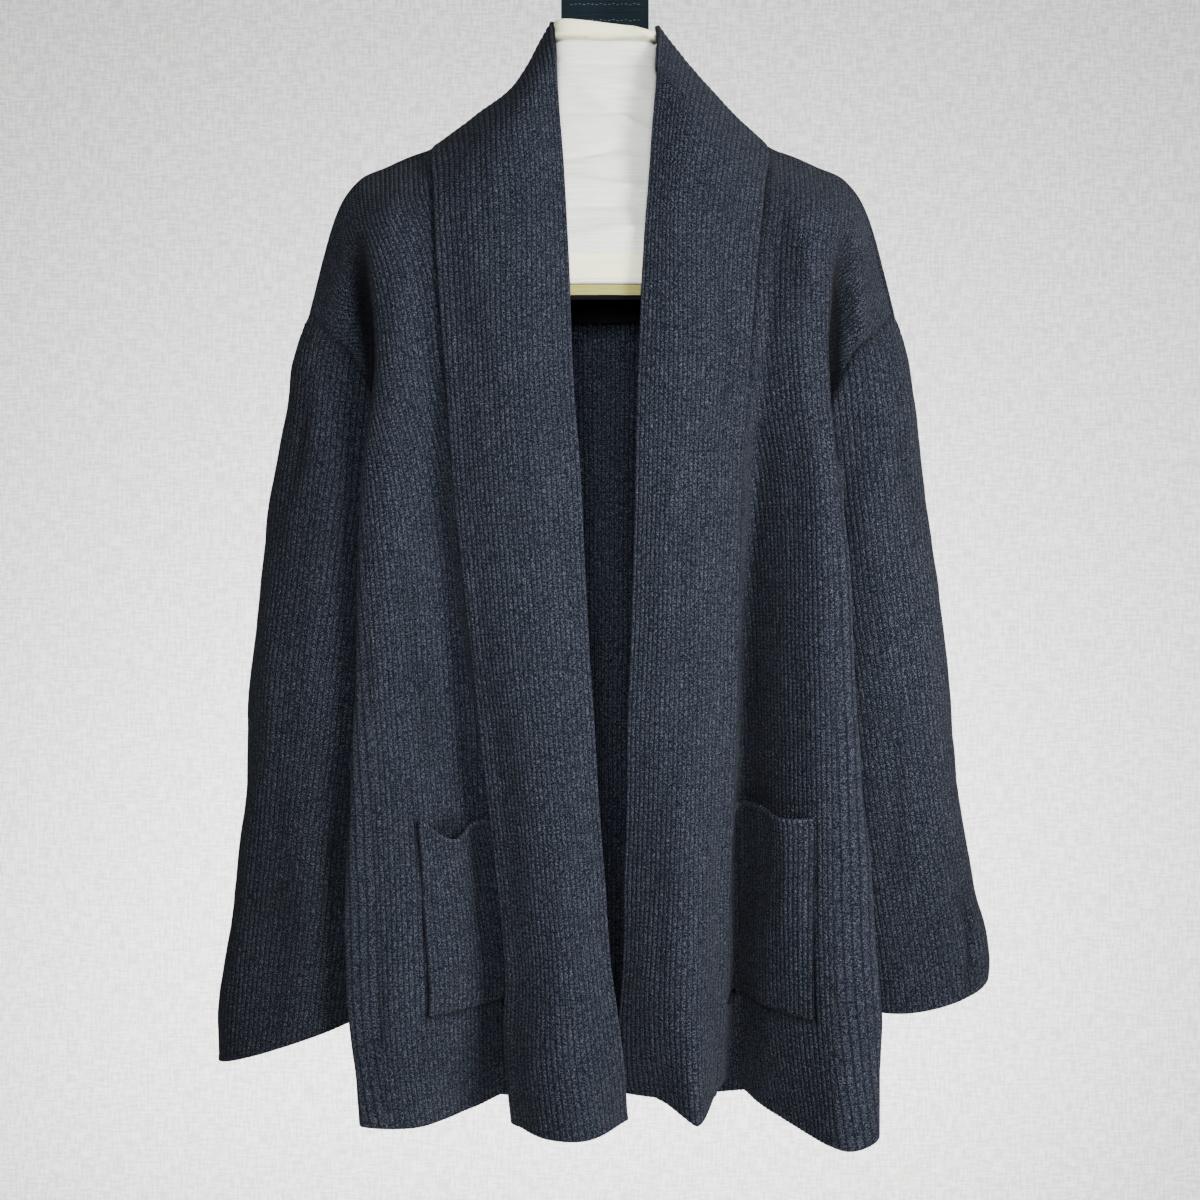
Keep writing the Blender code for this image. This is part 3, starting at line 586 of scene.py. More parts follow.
panel_places = down_places(0, HEM_ROW, 96)
fronts = {"right": (FRONT_RIGHT, BAND_RIGHT, False), "left": (FRONT_LEFT, BAND_LEFT, True)}
for side, (cells, band, flip) in fronts.items():
    face = front_surface(cells, band, flip, panel_places, np.linspace(0, 6, 6 * CELL_STEPS + 1))
    first_rib = curve(np.array(FIRST_RIB[side])[:, None], panel_places)[:, 0] * CELL_STEPS
    cut = running_ribs(face, outward(face, not flip), lengths(face, 1), PANEL_STEPS, first_rib)
    points, out, number, to_side = cut
    from_band = lengths(points, 1)
    from_side = from_band[:, -1:] - from_band
    dip = -BAND_DIP * (1 - settle(from_band - 1, BAND_DIP_WIDTH))
    first, last = POCKET_CELLS[side]
    top, foot = POCKET_ROWS[side]
    down = np.linspace(top, foot, 50)
    down_edge = front_surface(cells, band, flip, down, np.array([last]))[:, 0]
    along = np.linspace(first, last, 40)
    foot_edge = front_surface(cells, band, flip, np.array([foot]), along)[0]
    mouth = front_surface(cells, band, flip, np.array([top]), along)[0]
    mouth[:, 2] -= POCKET_SAG[side] / 2 * np.sin(math.pi * np.linspace(-1, 1, 40).clip(0)) ** 2
    below_armpit = settle(panel_places - ARMPIT_ROW + 0.6, 0.6)[:, None]
    # Painted shade on the front: under the band, beside the sleeve, round the pocket and in its
    # mouth.
    dark = (BAND_DARK * near(from_band, BAND_LINE)
            + SIDE_DARK * near(from_side, SIDE_LINE) * below_armpit
            + POCKET_DARK * near(away_from(points, down_edge), POCKET_LINE)
            + POCKET_DARK * near(away_from(points, foot_edge), FOOT_LINE)
            + MOUTH_DARK * near(away_from(points, mouth), MOUTH_LINE)
            + folded(points, FRONT_SHADE[side]))
    top_x, top_z, foot_x, foot_z = ARMPIT_FOLD[side]
    fold_x = top_x + (foot_x - top_x) * (top_z - points[..., 2]) / (top_z - foot_z)
    on_cap = np.abs(points[..., 0]) > np.abs(fold_x)
    below = np.clip(top_z - points[..., 2], 0, top_z - foot_z) * on_cap
    past_fold = number - np.where(on_cap, number, number.max()).min(axis=1, keepdims=True)
    number = (number - (1 - math.cos(CAP_LEAN)) * settle(below, CAP_TURN) * past_fold * on_cap
              + math.sin(CAP_LEAN) * below / RIB_PITCH)
    relief = RIB_RELIEF * (1 - (1 - CAP_RELIEF) * settle(below, 12))
    panel = knit_piece(f"front_panel_{side}", f"front_{side}", points, out, number, to_side,
                       BODY_WALL, swell=dip, folds=FRONT_FOLDS[side], relief=relief, dark=dark)

# ---------------------------------------------------------------------------------------
# Back.  One wide panel of the rib from shoulder to hem.  It hangs from the shoulders in
# long soft folds, with a hollow either side of the middle.
BACK_STEPS = 4           # mesh columns to each rib
BACK_FOLDS = (
    (-60, -240, -100, -520, 20, -3.0), (60, -260, 104, -540, 20, -3.0),
    (-30, -330, -44, -700, 22, 2.6), (36, -360, 30, -760, 22, 2.6),
    (-84, -600, -92, -900, 20, -2.6), (0, -520, 4, -900, 24, -2.8),
    (86, -640, 80, -900, 20, 2.4), (-140, -340, -150, -600, 16, 2.2),
    (134, -330, 148, -620, 16, 2.2), (-120, -700, -126, -900, 18, 2.0),
)

# From the side seam inwards: tuck, fold, face, corner, hollow, neck point, inner fold.
BACK_RIGHT = (
    ((-212, 32, -246), (-194, 42, -218), (-168, 48, -206), (-158, 50, -204),
     (-148, 51, -201), (-127, 54, -197), (-70, 62, -199)),
    ((-200, 46, -282), (-189, 57, -264), (-164, 63, -253), (-154, 64, -252),
     (-144, 66, -250), (-121, 69, -248), (-66, 73, -249)),
    ((-190, 50, -324), (-184, 64, -311), (-160, 71, -305), (-150, 73, -304),
     (-140, 75, -303), (-116, 78, -302), (-62, 76, -303)),
    ((-180, 46, -376), (-186, 66, -368), (-160, 76, -364), (-149, 79, -363),
     (-138, 82, -362), (-112, 82, -362), (-60, 76, -362)),
    ((-175, 43, -443), (-193, 66, -440), (-164, 80, -440), (-151, 84, -440),
     (-138, 87, -440), (-110, 86, -440), (-58, 76, -440)),
    ((-177, 44, -612), (-202, 66, -612), (-169, 83, -612), (-154, 88, -612),
     (-140, 92, -612), (-108, 89, -612), (-56, 75, -612)),
    ((-178, 44, -790), (-206, 66, -790), (-172, 85, -790), (-156, 90, -790),
     (-140, 96, -790), (-106, 91, -790), (-54, 74, -790)),
    ((-178, 44, -868), (-206, 66, -869), (-172, 86, -870), (-156, 92, -870),
     (-140, 97, -870), (-106, 91, -870), (-54, 74, -870)),
    ((-178, 44, -934), (-205, 66, -938), (-172, 86, -941), (-156, 92, -941),
     (-140, 98, -941), (-106, 91, -941), (-54, 74, -941)),
)
# Centre of the back below the neck: y, z.
BACK_CENTRE = (
    (68, -206), (76, -252), (81, -304), (85, -362), (90, -440), (95, -612), (99, -790),
    (100, -870), (100, -941),
)


def back_half(band, flip, places, across):
    """Half of the back's outer face, from the side seam to the centre."""
    turn = mirrored if flip else (lambda points: np.asarray(points, float))
    shoulder = turn(SHOULDER)
    shoulder[0] = band[NECK_ROWS][0]
    top = list(shoulder[::-1]) + [band[1][0], band[0][0]]
    back_line, front_line = side_line(True, places, flip), side_line(False, places, flip)
    lines = [np.where((places < ARMPIT_ROW)[:, None], back_line, front_line)]
    for cell in range(7):
        lines.append(curve([top[cell + 1]] + [turn(row[cell]) for row in BACK_RIGHT], places))
    lines.append(curve([top[8]] + [(CENTRE_X, y, z) for y, z in BACK_CENTRE], places))
    face = across_lines(lines, across)
    neck = len(SHOULDER) - 1
    seam = curve([row[0] for row in band], np.maximum(NECK_ROWS - (across - neck), 0))
    true_top = np.where((across <= neck)[:, None], curve(shoulder, np.maximum(neck - across, 0)),
                        seam)
    fade = np.clip(1 - places, 0, 1) ** 2
    return face + (true_top - face[0]) * fade[:, None, None]


across = np.linspace(0, 8, 8 * CELL_STEPS + 1)
back_places = down_places(0, HEM_ROW, 70)
halves = [back_half(BAND_RIGHT, False, back_places, across),
          back_half(BAND_LEFT, True, back_places, across)[:, -2::-1]]
face = np.concatenate(halves, axis=1)
middle = np.full(len(back_places), 8.0 * CELL_STEPS)
cut = running_ribs(face, outward(face, True), lengths(face, 1), BACK_STEPS, middle)
back_panel = knit_piece("back_panel", "back", *cut, BODY_WALL, folds=BACK_FOLDS)

# ---------------------------------------------------------------------------------------
# Sleeves.  Wide straight tubes of the rib, set on below the dropped shoulder and knitted to
# a plain cuff.  They hang flattened beside the body.
SLEEVE_STEPS = 4         # mesh columns to each rib
UNDERARM_SET_IN = 4      # the underarm's seam is set this far in, against the body
UNDERARM_FILL = 7.5      # just below, the sleeve is pressed out to the body this far
UNDERARM_SHADE, UNDERARM_DARK = 9.0, 0.5            # shade beside the body: its width, how dark
SLEEVE_SHADE = {"right": (0.32, 0.08), "left": (0.0, 0.3)}     # painted shade over the sleeve, more at the cuff
SLEEVE_PUFF = 2.0        # the sleeve swells this far just below the shoulder seam
PUFF_TOP, PUFF_FOOT = -330, -400                    # and less and less down to here
SLEEVE_RELIEF = 0.7      # worn softer than the body's ribs

# One row per ring: outer x, outer z, inner x, inner z, front depth, back depth, front sag.
SLEEVE_RIGHT = (
    (-250, -322, -184, -466, 34, 36, 0),
    (-259, -366, -184, -505, 37, 40, 0),
    (-272, -435, -186, -545, 38, 40, 0),
    (-281, -520, -187, -596, 38, 40, 0),
    (-287, -600, -188, -652, 38, 38, 0),
    (-292, -678, -190, -712, 37, 37, 0),
    (-301, -757, -193, -776, 35, 36, 0),
    (-311, -832, -196, -826, 33, 34, 0),
    (-313, -889, -198, -854, 31, 32, 0),
)
SLEEVE_LEFT = (
    (244, -322, 180, -466, 34, 36, 0),
    (250, -366, 181, -505, 37, 40, 0),
    (260, -430, 183, -545, 38, 40, 0),
    (271, -516, 185, -592, 38, 40, 0),
    (280, -598, 187, -645, 38, 38, 0),
    (287, -672, 191, -698, 37, 37, 0),
    (297, -735, 198, -750, 35, 36, 2),
    (309, -792, 205, -804, 33, 34, 6),
    (309, -821, 209, -843, 33, 34, 9),
)
# Turn of the first rib on the armhole and each ring: 0 the outer edge, 1 under the arm.
SLEEVE_RIB = (0.4, 0.577, 0.564, 0.567, 0.54, 0.516, 0.49, 0.482, 0.48, 0.465)
SLEEVE_FOLDS = {
    "right": ((-236, -330, -262, -480, 12, -2.2), (-214, -400, -240, -600, 13, 2.2),
              (-262, -500, -276, -700, 12, 2.0), (-212, -640, -226, -800, 12, -2.0),
              (-250, -660, -262, -860, 13, -1.8), (-286, -700, -300, -860, 11, 1.8)),
    "left": ((232, -330, 246, -470, 12, -2.2), (208, -400, 222, -590, 13, 2.2),
             (246, -480, 262, -690, 12, 1.8), (224, -600, 240, -760, 12, -2.0),
             (285, -745, 290, -830, 6, -3.4), (301, -760, 304, -820, 8, 1.6),
             (262, -690, 276, -820, 12, 1.6)),
}


def sleeve_surface(rings, flip, places, turns):
    """Outer face of a sleeve, from under the arm round the back, the top and the front."""
    front = side_line(False, ARMPIT_ROW * np.abs(turns), flip)
    back = side_line(True, ARMPIT_ROW * np.abs(turns), flip)
    first = np.where((turns >= 0)[:, None], front, back)
    under = (1 - np.cos(math.pi * turns)) / 2
    first[:, 0] += (-1 if flip else 1) * UNDERARM_SET_IN * under ** 3
    table = [first]
    share, forward = (1 + np.cos(math.pi * turns)) / 2, np.sin(math.pi * turns)
    for outer_x, outer_z, inner_x, inner_z, front_depth, back_depth, sag in rings:
        depth = np.where(turns >= 0, front_depth, back_depth)
        table.append(np.stack([inner_x + (outer_x - inner_x) * share, -depth * forward,
                               inner_z + (outer_z - inner_z) * share
                               - sag * np.maximum(0, forward)], -1))
    return curve(table, places)


sleeve_places = down_places(0, len(SLEEVE_RIGHT), 74)
turns = np.linspace(-1, 1, 121)
for side, rings, flip in (("right", SLEEVE_RIGHT, False), ("left", SLEEVE_LEFT, True)):
    face = sleeve_surface(rings, flip, sleeve_places, turns)
    level_arc = lengths(face * (1, 1, 0), 1)
    turn_of_first = curve(np.array(SLEEVE_RIB)[:, None], sleeve_places)[:, 0]
    first_rib = (turn_of_first + 1) / 2 * (len(turns) - 1)
    cut = running_ribs(face, outward(face, flip, closed=True), level_arc, SLEEVE_STEPS, first_rib)
    points, out, number, to_side = cut
    drop = lengths(points, 0)
    high = np.clip(1 - (points[..., 2] - PUFF_TOP) / (PUFF_FOOT - PUFF_TOP), 0, 1)
    puff = SLEEVE_PUFF * settle(drop, 18) * (1 - settle(drop - 20, 60)) * high
    puff += UNDERARM_FILL * near(to_side, 9) * near(drop, 42)
    # Painted shade over the whole sleeve, more toward the cuff, and beside the body.
    whole, at_cuff = SLEEVE_SHADE[side]
    dark = (whole + at_cuff * settle(drop - 300, 220)
            + UNDERARM_DARK * near(to_side, UNDERARM_SHADE))
    sleeve = knit_piece(f"sleeve_tube_{side}", f"sleeve_{side}", *cut, BODY_WALL, closed=True,
                        swell=puff, folds=SLEEVE_FOLDS[side], relief=SLEEVE_RELIEF, dark=dark)

# ---------------------------------------------------------------------------------------
# Pockets.  A patch of the rib on each front, sewn down at its sides and foot.  The mouth has
# a thick bound-off rim that sags, and the edge beside the band lies in the front's hollow.
POCKET_WALL = 3.0
POCKET_GAP = 1.4         # between the patch and the panel
POCKET_HELD = 0.5        # share of its width, from the band, that lies close
POCKET_GAPE = 10.0       # the rest of the mouth stands open this far
POCKET_SINK = 5.5        # the edge behind the band lies this much deeper, in the front's hollow
POCKET_STEPS = 5         # mesh columns to each rib
POCKET_TUCK = 0.3        # cells that the patch runs on behind the band
RIM_DEPTH = 4.2
RIM_SWELL = 2.2
RIM_PALE = 0.6           # the mouth's rim is made this much paler
SEWN_LINE, SEWN_DARK = 1.2, 0.5         # painted shade along its outer seam
SHADE_DARK = 0.3         # in the shade of the band
POCKET_CORNER = {"right": 7.0, "left": 0.0}      # the mouth's outer corner is caught up
POCKET_SHADE = {"right": 0.02, "left": 0.42}     # share of its width that the band shades
POCKET_FOLDS = {
    "right": ((-150, -735, -132, -760, 5, -2.0), (-146, -700, -150, -830, 9, 1.6)),
    "left": ((150, -700, 158, -830, 9, 1.8), (130, -700, 136, -820, 7, -1.4)),
}

for side, (cells, band, flip) in fronts.items():
    first, last = POCKET_CELLS[side]
    top, foot = POCKET_ROWS[side]
    close = top + (foot - top) * np.array([0, 0.006, 0.012, 0.02, 0.03, 0.042])
    places = np.concatenate([close, down_places(top + (foot - top) * 0.06, foot, 40)])
    spots = np.linspace(first - POCKET_TUCK, last, 61)
    face = front_surface(cells, band, flip, places, spots)
    out = outward(face, not flip)
    depth = ((places - top) / (foot - top))[:, None]
    loose = np.clip(((spots - first) / (last - first) - POCKET_HELD) / (1 - POCKET_HELD), 0, 1)
    swell = np.sin(math.pi * loose) ** 2
    gape = POCKET_GAPE * (1 - depth) ** 1.5 * swell
    sag = POCKET_SAG[side] * (1 - depth) ** 2 * np.sin(math.pi * loose) ** 1.3
    sag = sag - POCKET_CORNER[side] * (1 - depth) ** 3 * (loose * 2 - 1).clip(0) ** 1.5
    sink = POCKET_SINK * (1 - settle((spots - first) / (last - first), 0.2))
    face = face + out * (POCKET_GAP + POCKET_WALL + gape - sink)[..., None]
    face[..., 2] -= sag
    ribs = round(lengths(face, 1)[:, -1].mean() / RIB_PITCH)
    face, out, number, to_side = shared_ribs(face, out, ribs, POCKET_STEPS)
    from_mouth, across = lengths(face, 0), lengths(face, 1)
    rim = RIM_SWELL * near(from_mouth - RIM_DEPTH / 2, RIM_DEPTH / 2)
    inner_side = 1 - settle(across / across[:, -1:] - POCKET_SHADE[side], 0.12)
    # Painted shade along the outer seam and where the band shades the patch; the rim is paler.
    dark = (SEWN_DARK * near(across[:, -1:] - across, SEWN_LINE) + SHADE_DARK * inner_side
            - RIM_PALE * near(from_mouth - 1.5, 2))
    patch = knit_piece(f"patch_pocket_{side}", f"pocket_{side}", face, out, number, to_side,
                       POCKET_WALL, free_side="both", free_top=True, swell=rim,
                       folds=POCKET_FOLDS[side], dark=dark)

# ---------------------------------------------------------------------------------------
# Bust.  The padded form of the hanger, covered in cream cotton pulled smooth over the
# shoulders, with a rolled edge round the hollow neck.  Its foot is open, and its inside is
# painted near black as shade.  The roll and the hem above the foot are painted warmer and
# lighter, as light falls on them.
# Height, half width, half depth: the hollow under the foot, the foot's edge, then up.
BUST_HOLLOW = ((-252, 150, 42), (-256, 160, 51), (-280, 163.5, 54.5), (-281, 166, 56.5))
BUST_FOOT = (-279, 168, 58)
BUST_RINGS = BUST_HOLLOW + (
    BUST_FOOT, (-270, 168, 58), (-268, 171, 60),
    (-250, 180, 60), (-230, 186, 57), (-212, 190, 51), (-199, 187, 47), (-189, 177, 44),
    (-177.6, 157, 41), (-165.6, 129, 38), (-151.2, 97, 36), (-137, 68, 34), (-122, 50, 32),
    (-106, 41, 31), (-84, 38, 31), (-72, 37.8, 30.5), (-64, 39.2, 31), (-58, 39.2, 31),
    (-55, 38.2, 29.5), (-58, 37.3, 27.5), (-66, 36.8, 26), (-76, 36.6, 25),
)
BUST_TURNS = 160
BUST_RISE = 6
NECK_TOP, NECK_FOOT = -80, -165     # the neck is squarer than the shoulders above these
NECK_SQUARE = 0.42
NECK_CORNER = 4.2        # the front corners of the neck stand out this much more
NECK_DROP = 3.0          # the cover is pulled down this far at the top of the roll
ROLL_TILT = 5.2          # the rolled edge stands this much higher on the wearer's right
ROLL_CREASE = -70        # where the cover is caught in under the roll
CREASE_TILT = 0.8        # lower by this on the wearer's left, for each half width of the neck
ROLL_PINCH, PINCH_WIDTH = 4.6, 1.6
ROLL_NARROW = 0.7        # share of the corners' stand that the roll loses
HEM_STRIP = (-267, -247)                # the cover's hem above the foot edging, painted warmer and lighter as light falls there
ROLL_STAND = 1.4         # the roll stands this far over the neck below it
COVER_CREASES = (
    (-44, -84, 44, -92, 4, -5.1), (-40, -100, 44, -112, 5, 4.5), (-44, -124, 30, -132, 4, -4.8),
    (-20, -112, 44, -150, 5, 3.8), (-36, -166, 38, -158, 5, -4.8), (-40, -186, 36, -190, 6, 4.8),
    (-34, -210, 34, -204, 5, -4.5), (-30, -232, 34, -228, 6, 4.2), (-30, -250, 34, -252, 4, -3.2),
    (-14, -70, 20, -64, 3, -4.5), (16, -62, 42, -72, 2.5, 3.8),
)

rings = np.array(((-252, 0.5, 0.5), (-252, 80, 25)) + BUST_RINGS + ((-76, 10, 8), (-76, 0.5, 0.5)))
heights = curve(rings, np.linspace(0, len(rings) - 1, (len(rings) - 1) * BUST_RISE + 1))
turns = np.linspace(0, 2 * math.pi, BUST_TURNS + 1)
neck = settle(heights[:, 0] - NECK_FOOT, NECK_TOP - NECK_FOOT) * (heights[:, 1] > 30)
square = (1 - (1 - NECK_SQUARE) * neck)[:, None]
cosine, sine = np.cos(turns), np.sin(turns)
cover = np.stack([heights[:, None, 1] * np.sign(cosine) * np.abs(cosine) ** square,
                  heights[:, None, 2] * np.sign(sine) * np.abs(sine) ** square,
                  np.broadcast_to(heights[:, None, 0], (len(heights), len(turns)))], -1)
corner = settle(-cover[..., 1] - 6, 9) * settle(cover[..., 2] + 150, 40)
corner *= 1 - ROLL_NARROW * settle(cover[..., 2] - ROLL_CREASE - NECK_DROP, 2)
cover[..., 0] += NECK_CORNER * corner * np.clip(cover[..., 0] / 30, -1, 1.6)
cover[..., 2] -= (ROLL_TILT * cover[..., 0] / 40 + NECK_DROP) * neck[:, None]
push = np.stack([cover[..., 0] / 60, cover[..., 1] / 40, 0 * cover[..., 0]], -1)
push /= np.maximum(np.linalg.norm(push, axis=2, keepdims=True), 1e-6)
give = folded(cover, COVER_CREASES) * (cover[..., 1] < 0)
below_roll = cover[..., 2] - ROLL_CREASE + CREASE_TILT * cover[..., 0] / 40
give -= ROLL_PINCH * near(below_roll, PINCH_WIDTH)
give += ROLL_STAND * settle(below_roll, 3) * (cover[..., 1] < 8)
give += ripple(cover, 46) * 0.35 * (heights[:, 0] > -268)[:, None]
on_top = ((heights[:, 1] > 36.5) & (heights[:, 0] > -276))[:, None]
cover += push * (give * on_top)[..., None]
work = bmesh.new()
bmesh.ops.create_grid(work, x_segments=BUST_TURNS, y_segments=len(heights) - 1, size=1)
inside_foot = 3 + len(BUST_HOLLOW)
for face in work.faces:
    middle = face.calc_center_median()
    ring = (middle.y + 1) / 2 * (len(rings) - 1)
    spot = int(ring * BUST_RISE), int((middle.x + 1) / 2 * BUST_TURNS)
    # The roll and the hem take painted warm light, and the inside of the foot painted shade.
    warm_lit = below_roll[spot] > 0 or HEM_STRIP[0] < cover[spot][2] < HEM_STRIP[1]
    face.material_index = 1 if ring < inside_foot else 2 * warm_lit
for vertex in work.verts:
    column = round((vertex.co.x + 1) / 2 * BUST_TURNS)
    row = round((vertex.co.y + 1) / 2 * (len(heights) - 1))
    vertex.co = cover[row, column] * MM
bmesh.ops.remove_doubles(work, verts=work.verts[:], dist=1e-6)
bmesh.ops.holes_fill(work, edges=[e for e in work.edges if e.is_boundary], sides=0)
bmesh.ops.recalc_face_normals(work, faces=work.faces[:])
bust = as_piece(work, "bust_cover")

# Plain cotton: a node group of fine warp and weft threads, some thicker than others.
woven = bpy.data.node_groups.new("Plain weave", "ShaderNodeTree")
for name in ("Object", "Threads"):
    woven.interface.new_socket(name, in_out="INPUT", socket_type="NodeSocketVector")
for name in ("Thread", "Slub"):
    woven.interface.new_socket(name, in_out="OUTPUT", socket_type="NodeSocketFloat")
given = woven.nodes.new("NodeGroupInput")
given_out = woven.nodes.new("NodeGroupOutput")
counted = wired(woven, "ShaderNodeVectorMath", [given.outputs["Object"], given.outputs["Threads"]],
                operation="MULTIPLY").outputs[0]
apart = wired(woven, "ShaderNodeSeparateXYZ", [counted])
wobble = worked_out(woven, "MULTIPLY", noise(woven, given.outputs["Object"], 60), 9.0)
weft = worked_out(woven, "SINE", worked_out(woven, "ADD", apart.outputs[2], wobble))
warp = worked_out(woven, "SINE", worked_out(woven, "ADD", apart.outputs[0], wobble))
thread = worked_out(woven, "MULTIPLY", weft, warp)
thread = worked_out(woven, "MULTIPLY_ADD", thread, 0.5, 0.5)
along_weft = wired(woven, "ShaderNodeMapping", {"Vector": given.outputs["Object"],
                                                "Scale": (30, 30, 900)}).outputs[0]
slub = noise(woven, along_weft, 1.0, 3, 0.6)
woven.links.new(thread, given_out.inputs["Thread"])
woven.links.new(slub, given_out.inputs["Slub"])


# Painted shade along a crease fades out this far from the crease line, in metres.
CREASE_WIDE = 0.0026
CREASE_LEFT = 0.45       # share of the colour left at the middle of the crease's painted shade


def woven_cloth(name, threads, colours, roughness, bump, painted_shade=None):
    """A woven material: threads a metre, the colours of its thin and thick places.

    Painted shade along a crease: its height in metres and its fall to each metre of x.
    """
    cloth, tree, shader = new_finish(name, roughness, 0.06)
    space = wired(tree, "ShaderNodeTexCoord")
    weave = wired(tree, "ShaderNodeGroup", node_tree=woven)
    tree.links.new(space.outputs["Object"], weave.inputs["Object"])
    weave.inputs["Threads"].default_value = [2 * math.pi * threads] * 3
    clouded = noise(tree, space.outputs["Object"], 14, 3)
    spread = worked_out(tree, "MULTIPLY_ADD", weave.outputs["Slub"], 0.6,
                        worked_out(tree, "MULTIPLY", clouded, 0.4))
    colour = mixed(tree, ranged(tree, spread, 0.35, 0.65), *colours)
    # Painted shade along the crease line.
    if painted_shade:
        apart = wired(tree, "ShaderNodeSeparateXYZ", [space.outputs["Object"]])
        off = worked_out(tree, "MULTIPLY_ADD", apart.outputs[0], painted_shade[1], apart.outputs[2])
        off = worked_out(tree, "ABSOLUTE", worked_out(tree, "SUBTRACT", off, painted_shade[0]))
        away = ranged(tree, off, 0.0002, CREASE_WIDE, soft=True)
        kept = worked_out(tree, "MULTIPLY_ADD", away, 1 - CREASE_LEFT, CREASE_LEFT)
        colour = wired(tree, "ShaderNodeVectorMath", {0: colour, "Scale": kept},
                       operation="SCALE").outputs[0]
    tree.links.new(colour, shader.inputs["Base Color"])
    height = worked_out(tree, "MULTIPLY_ADD", weave.outputs["Thread"], 0.5, weave.outputs["Slub"])
    nap = wired(tree, "ShaderNodeBump", {"Strength": 0.6, "Distance": bump, "Height": height})
    tree.links.new(nap.outputs[0], shader.inputs["Normal"])
    return cloth


# Where the painted shade line lies, along the crease under the roll.
roll_shade_line = (ROLL_CREASE * MM, CREASE_TILT / 40)
for finish in (
        woven_cloth("cream_cotton", 1100, ((0.69, 0.71, 0.62), (0.97, 0.975, 0.91)), 0.88, 0.0003,
                    painted_shade=roll_shade_line),
        woven_cloth("painted_shade_in_foot", 700, ((0.003, 0.003, 0.0035), (0.007, 0.007, 0.008)),
                    0.9, 0.0002),
        woven_cloth("cream_cotton_painted_warm_light", 1100, ((0.92, 0.90, 0.58), (1.0, 0.99, 0.72)), 0.88,
                    0.0003, painted_shade=roll_shade_line)):
    bust.data.materials.append(finish)
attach(bust, "root")
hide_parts("bust_form")

# ---------------------------------------------------------------------------------------
# Foot edging.  A narrow straw-coloured tape bound round the foot of the bust; the CAD ring
# has its true shape, so it only takes a woven finish.
def dress(node, cloth):
    """Give a node that keeps its own shape its cloth."""
    for slot in bpy.data.objects[node].material_slots:
        slot.material = cloth


dress("form_trim", woven_cloth("straw_tape", 620, ((0.25, 0.235, 0.07), (0.36, 0.345, 0.12)),
                               0.8, 0.0004))

# ---------------------------------------------------------------------------------------
# Strap.  Blue-black cotton webbing folded over the rod and sewn to itself, with rows of
# pale stitches across it above the neck and under the eye.
STITCH_ROWS = (-33.5, -46.5, -26)
STITCH_LENGTH = 2.4
STITCH_PITCH = 3.4
STITCH_THICK = 0.2
STRAP_HALF = 30
STRAP_FACE = 2.85        # how far the outer faces of its two plies lie from the middle

dress("hang_strap", woven_cloth("blue_black_webbing", 420,
                                ((0.002, 0.004, 0.006), (0.006, 0.011, 0.015)), 0.8, 0.0005))
stitch_size = Vector((STITCH_LENGTH / 2, STITCH_THICK, STITCH_THICK)) * MM
count = int(STRAP_HALF * 2 / STITCH_PITCH)
work = bmesh.new()
for z in STITCH_ROWS:
    for face_side in (-1, 1):
        for number in range(count):
            made = bmesh.ops.create_uvsphere(work, u_segments=6, v_segments=5, radius=1)["verts"]
            bmesh.ops.scale(work, verts=made, vec=stitch_size)
            x = (number + 0.5) * STITCH_PITCH - count * STITCH_PITCH / 2
            lean = 0.5 * math.sin(number * 2.3 + z)
            bmesh.ops.translate(work, verts=made,
                                vec=Vector((x, face_side * STRAP_FACE, z + lean)) * MM)
stitches = as_piece(work, "strap_stitches")
stitches.data.materials.append(woven_cloth("pale_thread", 900,
                                           ((0.07, 0.09, 0.10), (0.12, 0.14, 0.15)), 0.7, 0.0001))
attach(stitches, "root")

# ---------------------------------------------------------------------------------------
# Floor, wall, light and camera.  A pale floor and a pale wall papered in linen, a soft key
# from the wearer's left, a weak fill from the front and a wash on the wall behind.
WALL_AT = 2.4
FLOOR_AT = -1.95
PAPER_COLOURS = (0.66, 0.655, 0.65), (0.97, 0.965, 0.96)
ALONG, ACROSS = 30, 190  # how finely its threads vary along and across themselves


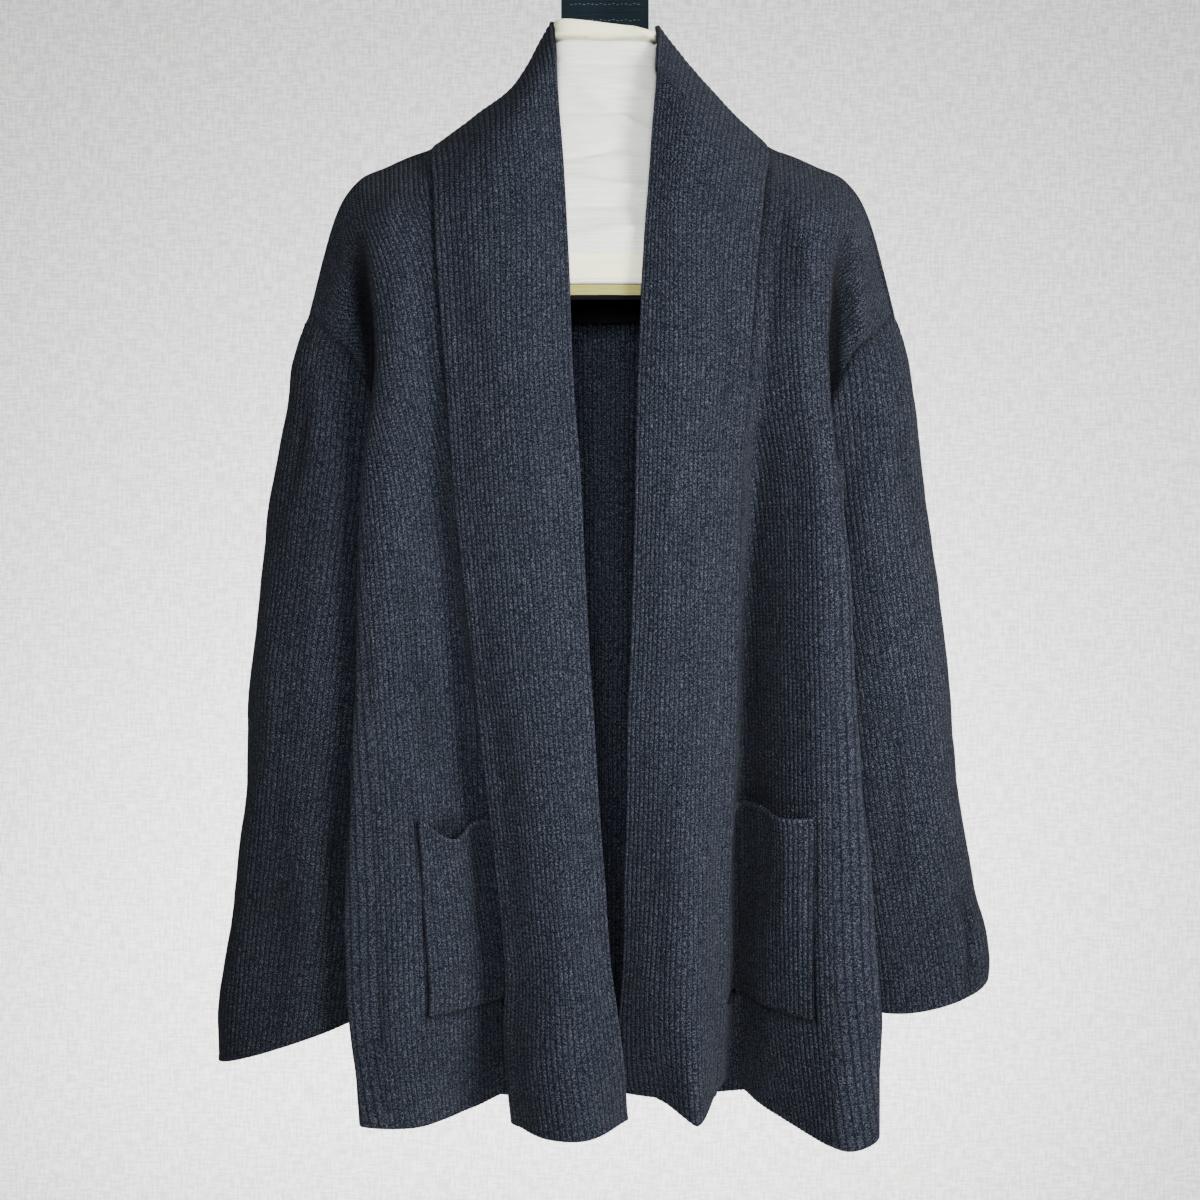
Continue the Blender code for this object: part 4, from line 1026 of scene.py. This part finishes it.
def linen_paper(name):
    """A pale surface with the faint threads of a linen paper."""
    pale, tree, shader = new_finish(name, 0.92)
    space = wired(tree, "ShaderNodeTexCoord").outputs["Object"]
    level, upright = (
        noise(tree, wired(tree, "ShaderNodeMapping", {"Vector": space, "Scale": scale}).outputs[0],
              1.0, 3, 0.6)
        for scale in ((ALONG, ALONG, ACROSS), (ACROSS, ACROSS, ALONG)))
    crossed = ranged(tree, worked_out(tree, "ADD", level, upright), 0.86, 1.14)
    tree.links.new(mixed(tree, crossed, *PAPER_COLOURS), shader.inputs["Base Color"])
    return pale


for name, turn, place in (("floor", 0, (0, 0, FLOOR_AT)), ("wall", math.pi / 2, (0, WALL_AT, 0))):
    work = bmesh.new()
    bmesh.ops.create_grid(work, x_segments=1, y_segments=1, size=8)
    upright = Matrix.Rotation(turn, 3, "X")
    bmesh.ops.rotate(work, verts=work.verts[:], cent=(0, 0, 0), matrix=upright)
    bmesh.ops.translate(work, verts=work.verts[:], vec=place)
    flat = as_piece(work, name)
    flat.data.materials.append(linen_paper(f"pale_{name}"))

world = bpy.data.worlds.new("studio")
bpy.context.scene.world = world
world.use_nodes = True
daylight = world.node_tree.nodes["Background"]
daylight.inputs["Color"].default_value = (0.93, 0.96, 1.0, 1)
daylight.inputs["Strength"].default_value = 0.14


def soft_box(name, place, target, size, power, colour, spread=180):
    """A square studio light aimed at a point, its beam as wide as its spread in degrees."""
    lamp = bpy.data.lights.new(name, "AREA")
    lamp.shape = "SQUARE"
    lamp.size = size
    lamp.energy = power
    lamp.color = colour
    lamp.spread = math.radians(spread)
    stand = bpy.data.objects.new(name, lamp)
    bpy.context.scene.collection.objects.link(stand)
    aim = Vector(target) - Vector(place)
    stand.rotation_euler = aim.to_track_quat("-Z", "Y").to_euler()
    stand.location = place
    stand.visible_camera = False


soft_box("key", (1.6, -1.75, -0.25), (0, 0, -0.48), 0.9, 122, (1, 0.99, 0.975))
soft_box("fill", (0.0, -3.0, -0.3), (0.05, 0, -0.48), 0.7, 7.5, (0.96, 0.98, 1), spread=40)
soft_box("wall_wash", (-0.2, 1.4, -1.75), (-0.2, WALL_AT, -0.75), 2.8, 205, (1, 0.995, 0.985))

camera = bpy.data.objects.new("camera", bpy.data.cameras.new("camera"))
bpy.context.scene.collection.objects.link(camera)
bpy.context.scene.camera = camera
camera.location = (-0.004, -1.37, -0.516)
camera.rotation_euler = (math.pi / 2, 0, 0)
camera.data.lens = 50.65
camera.data.sensor_width = 36
